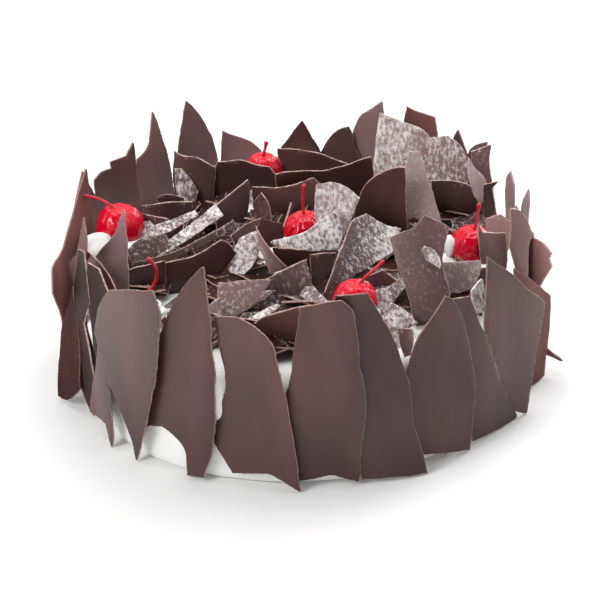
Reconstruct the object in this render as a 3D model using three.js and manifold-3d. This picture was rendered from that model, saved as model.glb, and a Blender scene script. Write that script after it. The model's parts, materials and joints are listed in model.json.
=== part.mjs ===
// A black forest cake: a round cake under whipped cream, walled with curled shards of
// dark chocolate, with more shards heaped on top and stemmed cherries on piped rosettes.
//
// Millimetres, +Z up. The origin is the middle of the cake's flat underside.
// Azimuths are in degrees, anticlockwise from +X; the cake's front is at -90 degrees.

import * as THREE from 'three';
import { mergeVertices } from 'three/addons/utils/BufferGeometryUtils.js';
import { TessellateModifier } from 'three/addons/modifiers/TessellateModifier.js';
import Module from 'manifold-3d';

const wasm = await Module();
wasm.setup();

// ---- Driving dimensions ----------------------------------------------------

const CAKE_RADIUS = 120;
const CREAM_HEIGHT = 62;
const CREAM_ROUNDING = 10;
const CREAM_ROUNDING_STEPS = 4;
const CREAM_SIDES = 56;

const ROSETTE_RADIUS = 19;
const ROSETTE_HEIGHT = 13;
const ROSETTE_RIDGES = 8;
const ROSETTE_RIDGE_DEPTH = 0.07;
const ROSETTE_WIND = 0.35;
const ROSETTE_FOOT_RADIUS = 17;
const ROSETTE_FOOT_DEPTH = 2;
// A rosette's outline above its foot, as shares of its radius and of its height.
const ROSETTE_PROFILE = [[1, 0.25], [0.88, 0.7], [0.55, 1], [0, 0.9]];

const CHERRY_RADIUS = 12;
const CHERRY_CENTRE_HEIGHT = 78.5;
const CHERRY_SIDES = 12;
const CHERRY_RINGS = 8;
// How deep the dimple is as a share of the radius, and how narrow.
const DIMPLE_DEPTH = 0.22;
const DIMPLE_POWER = 8;

const STEM_RADIUS = 1.1;
const STEM_START = 5;
const STEM_SIDES = 6;
const STEM_STEPS = 5;
const KNOB_RADIUS = 1.9;

const WALL_THICKNESS = 1.4;
const HEAP_THICKNESS = 1.6;
const BOWED_EDGE_STEPS = 3;
// A curled plate's triangles are halved until none is longer than this, in at most so many passes.
const LONGEST_EDGE = 30;
const HALVING_PASSES = 8;

// Pieces that touch are kept this far apart. A sharp corner moves outwards no more than this
// many times as far as its sides do.
const GAP = 0.35;
const FURTHEST_CORNER = 3;

// ---- Materials -------------------------------------------------------------

function cream() {
  return new THREE.MeshStandardMaterial({ color: 0xf6f1ec, roughness: 0.6, metalness: 0 });
}

function chocolate() {
  return new THREE.MeshStandardMaterial({ color: 0x5a4240, roughness: 0.42, metalness: 0 });
}

function cherryRed() {
  return new THREE.MeshStandardMaterial({ color: 0xd3122f, roughness: 0.15, metalness: 0 });
}

// ---- Solids and meshes -----------------------------------------------------

// A closed geometry, moved by a matrix, as a manifold solid.
function solidOf(geometry, matrix = new THREE.Matrix4()) {
  const bare = geometry.clone().applyMatrix4(matrix);
  bare.deleteAttribute('normal');
  bare.deleteAttribute('uv');
  const merged = mergeVertices(bare, 1e-4);
  return new wasm.Manifold(new wasm.Mesh({
    numProp: 3,
    vertProperties: new Float32Array(merged.attributes.position.array),
    triVerts: new Uint32Array(merged.index.array),
  }));
}

function geometryOf(solid) {
  const { vertProperties, triVerts } = solid.getMesh();
  const geometry = new THREE.BufferGeometry();
  geometry.setAttribute('position', new THREE.BufferAttribute(vertProperties, 3));
  geometry.setIndex(new THREE.BufferAttribute(triVerts, 1));
  geometry.computeVertexNormals();
  return geometry;
}

// The biggest of the bodies that a cut has left.
function biggestBody(solid) {
  const bodies = solid.decompose();
  bodies.sort((a, b) => b.volume() - a.volume());
  return bodies[0];
}

// A mesh that keeps its own place, with its geometry taken from a solid that lies in the cake's frame.
function placedMesh(name, solid, material, position, rotation) {
  const mesh = new THREE.Mesh(undefined, material);
  mesh.name = name;
  mesh.position.copy(position);
  mesh.rotation.copy(rotation);
  mesh.updateMatrix();
  mesh.geometry = geometryOf(solid).applyMatrix4(mesh.matrix.clone().invert());
  return mesh;
}

// A profile of [radius, height] points turned round the Z axis.
function turned(profile, segments) {
  const points = profile.map(([radius, height]) => new THREE.Vector2(radius, height));
  return new THREE.LatheGeometry(points, segments).rotateX(Math.PI / 2);
}

// ---- The cream-covered cake and its rosettes ---------------------------------

function cakeSolid(grow) {
  const rounding = CREAM_ROUNDING + grow;
  const flat = CAKE_RADIUS - CREAM_ROUNDING;
  const edge = Array.from({ length: CREAM_ROUNDING_STEPS + 1 }, (_, step) => {
    const angle = (step / CREAM_ROUNDING_STEPS) * Math.PI / 2;
    const height = CREAM_HEIGHT - CREAM_ROUNDING + rounding * Math.sin(angle);
    return [flat + rounding * Math.cos(angle), height];
  });
  const profile = [[0, -grow], [CAKE_RADIUS + grow, -grow], ...edge, [0, CREAM_HEIGHT + grow]];
  return solidOf(turned(profile, CREAM_SIDES));
}

// A piped star: a mound whose ridges wind round as they climb.
function rosetteSolid([x, y], grow) {
  const radius = ROSETTE_RADIUS + grow;
  const height = ROSETTE_HEIGHT + grow;
  const above = ROSETTE_PROFILE.map(([across, up]) => [radius * across, height * up]);
  const foot = [[0, -ROSETTE_FOOT_DEPTH], [ROSETTE_FOOT_RADIUS + grow, -ROSETTE_FOOT_DEPTH]];
  const profile = [...foot, ...above];
  const geometry = turned(profile, ROSETTE_RIDGES * 2);
  const { position } = geometry.attributes;
  for (let i = 0; i < position.count; i += 1) {
    const angle = Math.atan2(position.getY(i), position.getX(i));
    const wound = angle - ROSETTE_WIND * (position.getZ(i) / height);
    const swell = 1 + ROSETTE_RIDGE_DEPTH * Math.cos(ROSETTE_RIDGES * wound);
    position.setXY(i, position.getX(i) * swell, position.getY(i) * swell);
  }
  return solidOf(geometry, new THREE.Matrix4().makeTranslation(x, y, CREAM_HEIGHT));
}

// ---- Cherries ----------------------------------------------------------------

// A cherry is a sphere with a dimple that its stem grows from.
function cherryGeometry(size, grow) {
  const radius = CHERRY_RADIUS * size + grow;
  const profile = Array.from({ length: CHERRY_RINGS + 1 }, (_, ring) => {
    const angle = (ring / CHERRY_RINGS - 0.5) * Math.PI;
    const dimple = DIMPLE_DEPTH * Math.max(0, Math.sin(angle)) ** DIMPLE_POWER;
    return [radius * Math.cos(angle), radius * Math.sin(angle) * (1 - dimple)];
  });
  profile[0][0] = 0;
  profile[CHERRY_RINGS][0] = 0;
  return turned(profile, CHERRY_SIDES);
}

// A round section swept along a curve, closed at both ends.
function rod(curve, radius) {
  const ring = new THREE.EllipseCurve(0, 0, radius, radius).getPoints(STEM_SIDES);
  ring.pop();
  const sweep = { extrudePath: curve, steps: STEM_STEPS, bevelEnabled: false };
  return new THREE.ExtrudeGeometry(new THREE.Shape(ring), sweep);
}

// The stem runs from inside the cherry through the points given, which are from the cherry's centre.
function stemSolid(points, grow) {
  const route = [[0, 0, STEM_START], ...points].map((point) => new THREE.Vector3(...point));
  const curve = new THREE.CatmullRomCurve3(route);
  const knob = new THREE.IcosahedronGeometry(KNOB_RADIUS + grow);
  const atEnd = new THREE.Matrix4().setPosition(curve.getPoint(1));
  return solidOf(rod(curve, STEM_RADIUS + grow)).add(solidOf(knob, atEnd));
}

// ---- Chocolate shards --------------------------------------------------------

// The corners of an outline, anticlockwise. A corner is [across, up], and a third number bows the
// edge that leads to it outwards by that much.
function outlinePoints(corners) {
  const flat = corners.map(([u, v]) => new THREE.Vector2(u, v));
  const turn = Math.sign(THREE.ShapeUtils.area(flat));
  const shape = new THREE.Shape();
  shape.moveTo(flat[0].x, flat[0].y);
  [...corners.slice(1), corners[0]].forEach(([u, v, bow = 0]) => {
    const from = shape.currentPoint.clone();
    const along = new THREE.Vector2(u, v).sub(from);
    if (bow === 0) {
      shape.lineTo(u, v);
    } else {
      const outwards = new THREE.Vector2(along.y, -along.x).normalize();
      const control = from.addScaledVector(along, 0.5).addScaledVector(outwards, 2 * bow * turn);
      shape.quadraticCurveTo(control.x, control.y, u, v);
    }
  });
  const points = shape.getPoints(BOWED_EDGE_STEPS);
  points.pop();
  return turn > 0 ? points : points.reverse();
}

// The same outline with every side moved outwards.
function grownOutline(points, grow) {
  return points.map((point, i) => {
    const arriving = point.clone().sub(points.at(i - 1)).normalize();
    const leaving = points[(i + 1) % points.length].clone().sub(point).normalize();
    const outwards = new THREE.Vector2(arriving.y + leaving.y, -arriving.x - leaving.x).normalize();
    const reach = 1 / (outwards.x * arriving.y - outwards.y * arriving.x);
    return point.clone().addScaledVector(outwards, grow * Math.min(FURTHEST_CORNER, reach));
  });
}

// A plate in its own frame: across is X, up is Y and its face looks along Z. A positive curl
// turns its sides away from the viewer, a negative one towards the viewer.
function plateGeometry(points, thickness, curl) {
  const shape = new THREE.Shape(points);
  const flat = new THREE.ExtrudeGeometry(shape, { depth: thickness, bevelEnabled: false });
  flat.translate(0, 0, -thickness / 2);
  flat.deleteAttribute('normal');
  flat.deleteAttribute('uv');
  if (curl === 0) {
    return flat;
  }
  const fine = new TessellateModifier(LONGEST_EDGE, HALVING_PASSES).modify(flat);
  const { position } = fine.attributes;
  for (let i = 0; i < position.count; i += 1) {
    const angle = position.getX(i) / curl;
    const radius = curl + position.getZ(i);
    position.setX(i, radius * Math.sin(angle));
    position.setZ(i, radius * Math.cos(angle) - curl);
  }
  return fine;
}

// Upright with its face to the front, then tipped back by lean and turned about Z by turn.
function plateRotation(turn, lean) {
  const { degToRad } = THREE.MathUtils;
  return new THREE.Euler(degToRad(90 - lean), 0, degToRad(turn), 'ZXY');
}

// ---- Layout ------------------------------------------------------------------

// Each cherry: where it stands, how far it has sunk or outgrown the others, and its stem's points
// from its middle.
const CHERRIES = [
  { name: 'cherry_left', at: [-98, 24], size: 1.18, stem: [[-3, 0, 12], [-11, 3, 16], [-20, 4, 18]] },
  { name: 'cherry_back', at: [-19, 92], stem: [[1, 0, 11], [2, 1, 14], [3, 1, 18]] },
  { name: 'cherry_middle', at: [3, 6], stem: [[0, 1, 11], [0, 2, 18], [1, 3, 26]] },
  { name: 'cherry_back_right', at: [60, 56], stem: [[1, 0, 10], [4, 2, 13], [8, 5, 15]] },
  { name: 'cherry_right', at: [90, -23], stem: [[2, 0, 12], [3, 1, 17], [4, 2, 23]] },
  { name: 'cherry_front', at: [26, -79], stem: [[4, 1, 11], [9, 4, 14], [15, 9, 17]] },
  { name: 'cherry_front_left', at: [-83, -64], sunk: 8, stem: [[8, 6, 11], [11, 6, 20], [7, 7, 27]] },
];

// The shards of the wall. Each stands against the cream and overlaps the next, with its
// greater-azimuth edge turned outwards by the fan angle, or inwards if that is negative. Lean tips
// its top towards the cake's middle.
const WALL = [
  { azimuth: -162, radius: 132, fan: -18, lean: 10, curl: 0,
    outline: [[-6, 69], [-11, 54], [-15, 43], [-17, 13], [-16, 2], [-8, 3], [-2, 7], [6, 15],
      [4, 24], [2, 49]] },
  { azimuth: -156, radius: 124, fan: -10, lean: 6, curl: 0,
    outline: [[-21, 68], [-14, 64], [-8, 52], [-2, 34], [2, 20], [0, 2], [-4, 3], [-11, 11],
      [-16, 16], [-20, 30]] },
  { azimuth: -147, radius: 127.5, fan: 2, lean: 4, curl: 0,
    outline: [[2, 60], [-6, 36], [-11, 26], [-14, 9], [5, 11], [11, 1], [13, 5], [10, 31], [9, 60]] },
  { azimuth: -136, radius: 128, fan: 2, lean: 2.5, curl: 200,
    outline: [[-7, 91], [14, 99], [26, 102], [30, 90], [24, 53], [15, 26], [6, 1], [3, 13],
      [-3, 26], [-8, 33], [-13, 37], [-24, 62], [-17, 79]] },
  { azimuth: -117, radius: 126, fan: 7, lean: 1, curl: 140,
    outline: [[13, 119, 2], [15, 87], [15, 49], [10, 17], [5, 3], [-5, 1], [-5, 15], [-8, 19],
      [-14, 23], [-20, 25], [-28, 22], [-34, 18], [-29, 38], [-12, 83, 2]] },
  { azimuth: -102, radius: 126, fan: 7, lean: 1, curl: 140,
    outline: [[-17, 92], [-5, 94], [12, 80, 2], [16, 52], [21, 1], [6, 10], [-13, 7], [-23, 24],
      [-14, 53], [-13, 60]] },
  { azimuth: -87, radius: 125, fan: 7, lean: 0, curl: 140,
    outline: [[-8, 99], [11, 102], [16, 97], [21, 43], [16, 3], [3, 7], [-14, 4], [-17, 46],
      [-13, 69]] },
  { azimuth: -73, radius: 128.5, fan: 8, lean: 2.5, curl: 140,
    outline: [[-22, 103], [-7, 102], [11, 56, 1.5], [13, 29], [20, 1], [-13, 3], [-18, 47]] },
  { azimuth: -58, radius: 126, fan: 7, lean: 0.5, curl: 140,
    outline: [[1, 91], [5, 89], [15, 58, 1], [18, 40], [15, 1], [-13, 8], [-20, 43, 1.5], [-20, 56],
      [-10, 79, 1]] },
  { azimuth: -45, radius: 125, fan: 7, lean: 0, curl: 140,
    outline: [[-21, 86], [-10, 85], [3, 53], [12, 29], [26, 1], [-7, 2], [-16, 57]] },
  { azimuth: -34, radius: 129, fan: 16, lean: 0, curl: 220,
    outline: [[-22, 102], [7, 74], [22, 59], [16, 37], [8, 1], [-3, 7], [-23, 62]] },
  { azimuth: -20, radius: 127, fan: 16, lean: 1, curl: 220,
    outline: [[-18, 80], [-3, 68], [23, 46], [22, 26], [16, 1], [-2, 3], [-12, 40]] },
  { azimuth: 7, radius: 129.5, fan: -8, lean: 0, curl: 0,
    outline: [[24, 71], [18, 68], [8, 66], [5, 64], [1, 64], [0, 61], [-8, 63], [-16, 64], [-24, 63],
      [-21, 58], [-25, 55], [-19, 48], [-10, 36], [-18, 8], [-8, 2], [12, 3], [22, 26]] },
  { azimuth: 12, radius: 126, fan: 7, lean: 0, curl: 180,
    outline: [[-19, 94], [-6, 84], [-1, 78], [0, 71], [8, 54], [16, 28], [12, 2], [-10, 3], [-18, 30],
      [-15, 62], [-18, 79], [-22, 90]] },
  { azimuth: 23, radius: 126, fan: 7, lean: 0, curl: 180,
    outline: [[-6, 87], [-12, 93], [-18, 87], [-17, 50], [-20, 22], [-12, 2], [12, 3], [16, 26],
      [4, 44], [-5, 59], [-4, 75]] },
  { azimuth: 34, radius: 126, fan: 7, lean: 0, curl: 180,
    outline: [[-10, 101], [8, 89, 1], [15, 60], [20, 24], [11, 2], [-13, 3], [-19, 36], [-13, 76],
      [-8, 90]] },
  { azimuth: 44, radius: 126, fan: 7, lean: 0, curl: 180,
    outline: [[-7, 101], [8, 78], [17, 52, 1.5], [18, 20], [10, 2], [-12, 2], [-20, 34],
      [-19, 80, 1]] },
  { azimuth: 55, radius: 127, fan: 7, lean: 0, curl: 180,
    outline: [[7, 107], [-1, 104], [-13, 104], [-18, 76], [-21, 30], [-13, 2], [10, 3], [19, 30],
      [14, 70]] },
  { azimuth: 69, radius: 124, fan: 7, lean: -2, curl: 100,
    outline: [[-8, 108], [-9, 96], [-16, 60], [-18, 30], [-10, 2], [12, 3], [18, 30], [12, 70],
      [7, 97, 2]] },
  { azimuth: 77, radius: 126, fan: 7, lean: 0, curl: 180,
    outline: [[9, 79], [1, 89, 1], [-5, 91], [-8, 80, 1], [-17, 60], [-20, 28], [-12, 2], [10, 3],
      [20, 30], [19, 60]] },
  { azimuth: 88, radius: 126, fan: 7, lean: 0, curl: 180,
    outline: [[-1, 94], [13, 77], [20, 40, 1.5], [16, 14], [9, 2], [-13, 3], [-20, 36], [-11, 76]] },
  { azimuth: 105, radius: 126, fan: 7, lean: 0, curl: 180,
    outline: [[10, 93], [1, 88], [-15, 75, 2], [-20, 36], [-12, 2], [13, 3], [20, 34], [12, 75]] },
  { azimuth: 120, radius: 126, fan: 7, lean: 0, curl: 180,
    outline: [[-1, 117], [-11, 102, 1], [-18, 73, 1], [-20, 34], [-11, 2], [10, 3], [19, 30],
      [9, 76, -1]] },
  { azimuth: 133, radius: 126, fan: 7, lean: 0, curl: 180,
    outline: [[-6, 116], [-12, 94], [-15, 71], [-19, 30], [-12, 2], [11, 3], [18, 36], [15, 70],
      [7, 90], [-2, 97, -1]] },
  { azimuth: 147, radius: 126, fan: 7, lean: 0, curl: 180,
    outline: [[-19, 103], [-20, 24], [-12, 2], [12, 3], [19, 30], [13, 91], [6, 94], [-1, 93],
      [-1, 97], [-13, 97]] },
  { azimuth: 161, radius: 126, fan: 7, lean: 0, curl: 180,
    outline: [[-3, 103], [4, 94], [15, 70, 1], [19, 30], [10, 2], [-12, 3], [-18, 34], [-14, 80]] },
  { azimuth: -178, radius: 126, fan: 15, lean: -1, curl: 200,
    outline: [[-39, 108], [-28, 97], [-3, 78, -1], [16, 75], [22, 64], [13, 46], [10, 20], [4, 2],
      [-20, 3], [-34, 30], [-41, 70]] },
];

// The shards heaped on top. Each stands at a point with its face turned and tipped back, and the
// ones listed first are cut by nothing but the cream, the cherries and the wall.
const HEAP = [
  { name: 'right_front_slab', at: [57, -81, 66], turn: -10, lean: 36, curl: 140,
    outline: [[-16, 41], [-5, 46], [1, 53], [12, 47], [10, 29], [15, 12], [10, 0], [-1, -3],
      [-12, 29]] },
  { name: 'long_dusted_slab', at: [22, -41, 68], turn: 38, lean: 34, curl: 120,
    outline: [[21, 29], [34, 30], [47, 20], [62, 16], [43, 6], [3, 1], [-15, -1]] },
  { name: 'back_slab_left', at: [60, 86, 66], turn: -4, lean: 22, curl: 90,
    outline: [[-10, 43], [2, 38], [13, 34], [20, 28], [20, 2], [0, -3], [-16, 0]] },
  { name: 'back_slab_right', at: [89, 70, 70], turn: -14, lean: 22, curl: 80,
    outline: [[-14, 28], [-3, 30], [4, 25], [11, 16], [10, 5], [6, -8], [-12, -8]] },
  { name: 'tall_narrow', at: [69, 26, 66], turn: -10, lean: 12, curl: 60,
    outline: [[-8, 43], [-3, 43], [4, 24], [10, 2], [10, -5], [-8, -5], [-11, 25]] },
  { name: 'sail', at: [46, 26, 66], turn: -14, lean: -4, curl: -90,
    outline: [[-11, 24], [1, 36, 1.5], [14, 40, 1], [15, 0], [14, -5], [-17, -5], [-16, 5]] },
  { name: 'square_dusted', at: [16, -12, 70], turn: 4, lean: 30, curl: 90,
    outline: [[-4, 39], [4, 39], [12, 36], [19, 30], [12, 18], [4, 3], [-4, 6], [-6, 23]] },
  { name: 'left_spike', at: [-99, -32, 68], turn: -24, lean: 10, curl: 0,
    outline: [[8, 43], [4, 31], [-10, 15], [-5, 13], [3, -7], [10, -7], [10, 27]] },
  { name: 'front_dark_plate', at: [-2, -94, 60], turn: 6, lean: -2, curl: 160,
    outline: [[-22, 17], [-18, 20], [0, 24], [13, 25], [23, 24], [22, -1], [-10, 0], [-19, 10]] },
  { name: 'crescent', at: [6, -18, 73], turn: 8, lean: 30, curl: 0,
    outline: [[-20, 10], [-13, 11], [-3, 13], [7, 18], [15, 22], [18, 17], [18, 7], [14, 2], [0, 3],
      [-13, 6]] },
  { name: 'back_left_plate', at: [-35, 78, 64], turn: -4, lean: 2, curl: 120,
    outline: [[-10, 26], [6, 26], [11, 23], [20, 22], [23, 17], [22, -4], [-28, -4], [-21, 4]] },
  { name: 'back_middle_plate', at: [13, 65, 64], turn: 4, lean: 0, curl: -160,
    outline: [[-25, 24], [-3, 24], [2, 23], [18, 26], [30, 30], [32, 20], [31, -2], [-26, -2]] },
  { name: 'back_hollow_plate', at: [-7, 53, 64], turn: 4, lean: 4, curl: -110,
    outline: [[-18, 21], [17, 23, -4], [20, 20], [19, -2], [-18, -2]] },
  { name: 'back_rim_plate', at: [8, 91, 66], turn: -4, lean: 2, curl: -120,
    outline: [[-18, 25], [-4, 23], [6, 21], [16, 17], [23, 15], [22, -4], [-19, -4]] },
  { name: 'left_wing', at: [-39, 38, 68], turn: 34, lean: 8, curl: 100,
    outline: [[-7, 14], [17, 22], [18, 19], [12, -4], [2, -5], [-8, -4]] },
  { name: 'left_strip_dusted', at: [-61, 7, 72], turn: 32, lean: 58, curl: 0,
    outline: [[-22, 1], [5, 10], [28, 19], [29, 11], [4, 3], [-10, -1], [-22, -3]] },
  { name: 'left_front_plate', at: [-56, -29, 64], turn: 12, lean: 6, curl: 120,
    outline: [[-19, 14], [-13, 16], [0, 17], [16, 24], [19, 23], [24, 15], [10, 2], [8, -4],
      [-19, -4]] },
  { name: 'back_left_tall', at: [-61, 78, 64], turn: -12, lean: 4, curl: 60,
    outline: [[-9, 33], [-3, 30], [3, 30], [14, 23], [11, -4], [-10, -4], [-11, 20]] },
  { name: 'speckled_leaf', at: [-31, -26, 68], turn: -8, lean: 38, curl: 70,
    outline: [[-2, 20], [7, 24], [9, 20], [8, 12], [5, 5], [0, 0], [-6, 2], [-8, 9], [-4, 14]] },
  { name: 'middle_spike', at: [-15, -29, 70], turn: -30, lean: 24, curl: 0,
    outline: [[-14, 23], [8, 5], [-1, 0], [-6, 8], [-11, 13]] },
  { name: 'front_middle_plate', at: [-9, -52, 66], turn: 16, lean: 14, curl: 140,
    outline: [[-10, 12], [14, 19], [15, 12], [13, 0], [8, -5], [-12, -4]] },
  { name: 'front_flecked', at: [-30, -70, 70], turn: 8, lean: 44, curl: 0,
    outline: [[-10, 16], [16, 15], [11, 9], [18, 9], [-5, -2], [-15, 2], [-11, 9]] },
  { name: 'right_low_plate', at: [79, -61, 68], turn: 10, lean: 30, curl: 0,
    outline: [[-7, 18], [13, 16], [13, 12], [7, 3], [-5, 0], [-8, 12]] },
  { name: 'right_bowl', at: [88, 43, 66], turn: -6, lean: 0, curl: -70,
    outline: [[-13, 21], [-2, 21], [9, 18], [14, 11], [16, -3], [-10, -4]] },
  { name: 'right_screen', at: [99, -36, 68], turn: 20, lean: 10, curl: 80,
    outline: [[-6, 27], [-4, 22], [9, 19], [9, 3], [7, -4], [-5, -4], [-6, 15]] },
];

// ---- Assembly ----------------------------------------------------------------

const cake = new THREE.Group();

// What a new piece is cut clear of: every piece before it, made bigger by the gap.
const keptClear = [];

function cutClear(solid) {
  const box = solid.boundingBox();
  const near = keptClear.filter((other) => {
    const otherBox = other.boundingBox();
    return box.min.every((low, axis) => low < otherBox.max[axis] && box.max[axis] > otherBox.min[axis]);
  });
  return biggestBody(near.reduce((left, other) => left.subtract(other), solid));
}

const middles = CHERRIES.map(({ at, sunk = 0 }) => new THREE.Vector3(...at, CHERRY_CENTRE_HEIGHT - sunk));

function wholeCherry({ stem, size = 1 }, middle, grow) {
  const place = new THREE.Matrix4().setPosition(middle);
  return solidOf(cherryGeometry(size, grow)).add(stemSolid(stem, grow)).transform(place.elements);
}

function coveredCake(grow) {
  return CHERRIES.reduce((left, { at }) => left.add(rosetteSolid(at, grow)), cakeSolid(grow));
}

const cherryRoom = CHERRIES.map((cherry, i) => wholeCherry(cherry, middles[i], GAP));
const creamBody = cherryRoom.reduce((left, room) => left.subtract(room), coveredCake(0));
const unturned = new THREE.Euler();
cake.add(placedMesh('cream_covered_cake', creamBody, cream(), new THREE.Vector3(), unturned));

CHERRIES.forEach((cherry, i) => {
  const solid = wholeCherry(cherry, middles[i], 0);
  cake.add(placedMesh(cherry.name, solid, cherryRed(), middles[i], unturned));
});
keptClear.push(coveredCake(GAP), ...cherryRoom);

function addShard(name, { outline, curl }, thickness, position, rotation) {
  const matrix = new THREE.Matrix4().makeRotationFromEuler(rotation).setPosition(position);
  const points = outlinePoints(outline);
  const solid = cutClear(solidOf(plateGeometry(points, thickness, curl), matrix));
  cake.add(placedMesh(name, solid, chocolate(), position, rotation));
  const room = plateGeometry(grownOutline(points, GAP), thickness + 2 * GAP, curl);
  keptClear.push(solidOf(room, matrix));
}

WALL.forEach((shard, i) => {
  const azimuth = THREE.MathUtils.degToRad(shard.azimuth);
  const position = new THREE.Vector3(shard.radius * Math.cos(azimuth), shard.radius * Math.sin(azimuth), 0);
  const rotation = plateRotation(shard.azimuth + 90 - shard.fan, shard.lean);
  addShard(`wall_shard_${String(i + 1).padStart(2, '0')}`, shard, WALL_THICKNESS, position, rotation);
});

HEAP.forEach((shard) => {
  const rotation = plateRotation(shard.turn, shard.lean);
  addShard(`heap_${shard.name}`, shard, HEAP_THICKNESS, new THREE.Vector3(...shard.at), rotation);
});

export default cake;
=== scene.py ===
"""A black forest cake: whipped cream walled and heaped with snapped plates of dark chocolate,
with stemmed red cherries on piped rosettes and a dusting of icing sugar.

Lengths in the settings are metres. Tables and outlines are in millimetres, as the cake's frame
has its origin in the middle of the flat underside, +Z up, and its front at -Y.
"""

import json
import math
import zlib

import bpy
import numpy as np
from bpy.props import FloatProperty, FloatVectorProperty, IntProperty, PointerProperty
from mathutils import Matrix, Vector
from mathutils.geometry import delaunay_2d_cdt

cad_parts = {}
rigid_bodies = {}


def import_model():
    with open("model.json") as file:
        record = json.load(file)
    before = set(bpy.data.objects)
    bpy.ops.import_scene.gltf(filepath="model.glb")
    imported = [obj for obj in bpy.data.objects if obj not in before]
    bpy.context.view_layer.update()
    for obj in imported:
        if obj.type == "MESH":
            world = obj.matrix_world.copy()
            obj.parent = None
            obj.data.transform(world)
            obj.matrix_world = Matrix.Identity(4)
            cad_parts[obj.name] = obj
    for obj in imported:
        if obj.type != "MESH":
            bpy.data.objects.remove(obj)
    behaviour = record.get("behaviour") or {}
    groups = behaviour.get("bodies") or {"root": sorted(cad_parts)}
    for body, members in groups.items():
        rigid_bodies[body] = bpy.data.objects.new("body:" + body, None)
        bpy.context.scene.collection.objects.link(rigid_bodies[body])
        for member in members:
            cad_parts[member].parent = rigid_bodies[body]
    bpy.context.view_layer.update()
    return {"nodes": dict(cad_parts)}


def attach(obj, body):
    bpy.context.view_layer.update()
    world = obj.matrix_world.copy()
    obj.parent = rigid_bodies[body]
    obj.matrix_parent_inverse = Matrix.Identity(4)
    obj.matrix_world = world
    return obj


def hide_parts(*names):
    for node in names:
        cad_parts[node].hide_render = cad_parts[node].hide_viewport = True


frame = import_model()

bl_info = {
    "name": "Black Forest Cake",
    "version": (1, 0, 0),
    "blender": (4, 5, 0),
    "location": "3D View > Sidebar > Cake",
    "description": "Builds the finish of a black forest cake around its measured solids",
    "category": "Mesh",
}

MM = 0.001
# This keeps a length of nothing from dividing.
TINY = 1e-9


def linear(hex_colour):
    """An sRGB hex colour as linear red, green and blue."""
    channels = [int(hex_colour[i:i + 2], 16) / 255 for i in (1, 3, 5)]
    return [c / 12.92 if c <= 0.04045 else ((c + 0.055) / 1.055) ** 2.4 for c in channels]


def per_metre(feature_mm):
    """The texture scale whose features are that many millimetres across."""
    return 1000 / feature_mm


# ---- Sizes and places -------------------------------------------------------

CREAM_RADIUS = 120.0
CREAM_HEIGHT = 62.0
CREAM_ROUNDING = 9.0

WALL_NODES = sorted(name for name in frame["nodes"] if name.startswith("wall_shard_"))
HEAP_NODES = sorted(name for name in frame["nodes"] if name.startswith("heap_"))
CHERRY_NODES = sorted(name for name in frame["nodes"] if name.startswith("cherry_"))

# The stem of each cherry, as points from the cherry's middle.
STEMS = {
    "cherry_left": [(-3, 0, 12), (-11, 3, 16), (-20, 4, 18)],
    "cherry_back": [(1, 0, 11), (2, 1, 14), (3, 1, 18)],
    "cherry_middle": [(0, 1, 11), (0, 2, 18), (1, 3, 26)],
    "cherry_back_right": [(1, 0, 10), (4, 2, 13), (8, 5, 15)],
    "cherry_right": [(2, 0, 12), (3, 1, 17), (4, 2, 23)],
    "cherry_front": [(4, 1, 11), (9, 4, 14), (15, 9, 17)],
    "cherry_front_left": [(8, 6, 11), (11, 6, 20), (7, 7, 27)],
}

# How light a shard's chocolate is, as a multiple of the usual, and how much pale cocoa butter has
# bloomed on it, from 0 to 1. Both also carry painted light and shade: a shard that lies in shadow
# is made darker, and one that catches the light or reflects it is made lighter and more bloomed.
PLAIN = (1.0, 0.02)
# How heavily a shard is dusted at its left and its right side, from 0 to 1, and where there is a
# third number, how much more than that at its foot.
BARE = (0.0, 0.0)
LIGHT_DUSTING = (0.12, 0.12)

# The wall shards that aren't plain, by number, with their painted light and shade, and those that
# aren't bare.
WALL_SHADES = {
    1: (0.65, 0.0), 3: (1.15, 0.03), 4: (0.95, 0.09), 5: (0.9, 0.02), 6: (1.1, 0.05),
    8: (0.8, 0.0), 9: (0.9, 0.0), 10: (0.8, 0.0), 12: (1.8, 0.1), 13: (4.8, 0.45), 14: (1.4, 0.3),
    15: (2.2, 0.6), 16: (1.1, 0.1), 18: (1.5, 0.03), 19: (2.0, 0.35), 20: (1.0, 0.06),
    21: (1.1, 0.0), 22: (1.6, 0.22), 23: (1.65, 0.2), 24: (1.5, 0.22), 25: (1.15, 0.06),
    27: (2.1, 0.12),
}
WALL_DUSTING = {19: (0.3, 0.3)}
# These wall shards have the side that set against the air turned outwards.
DULL_SIDE_OUT = (1, 2, 12, 27)
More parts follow.
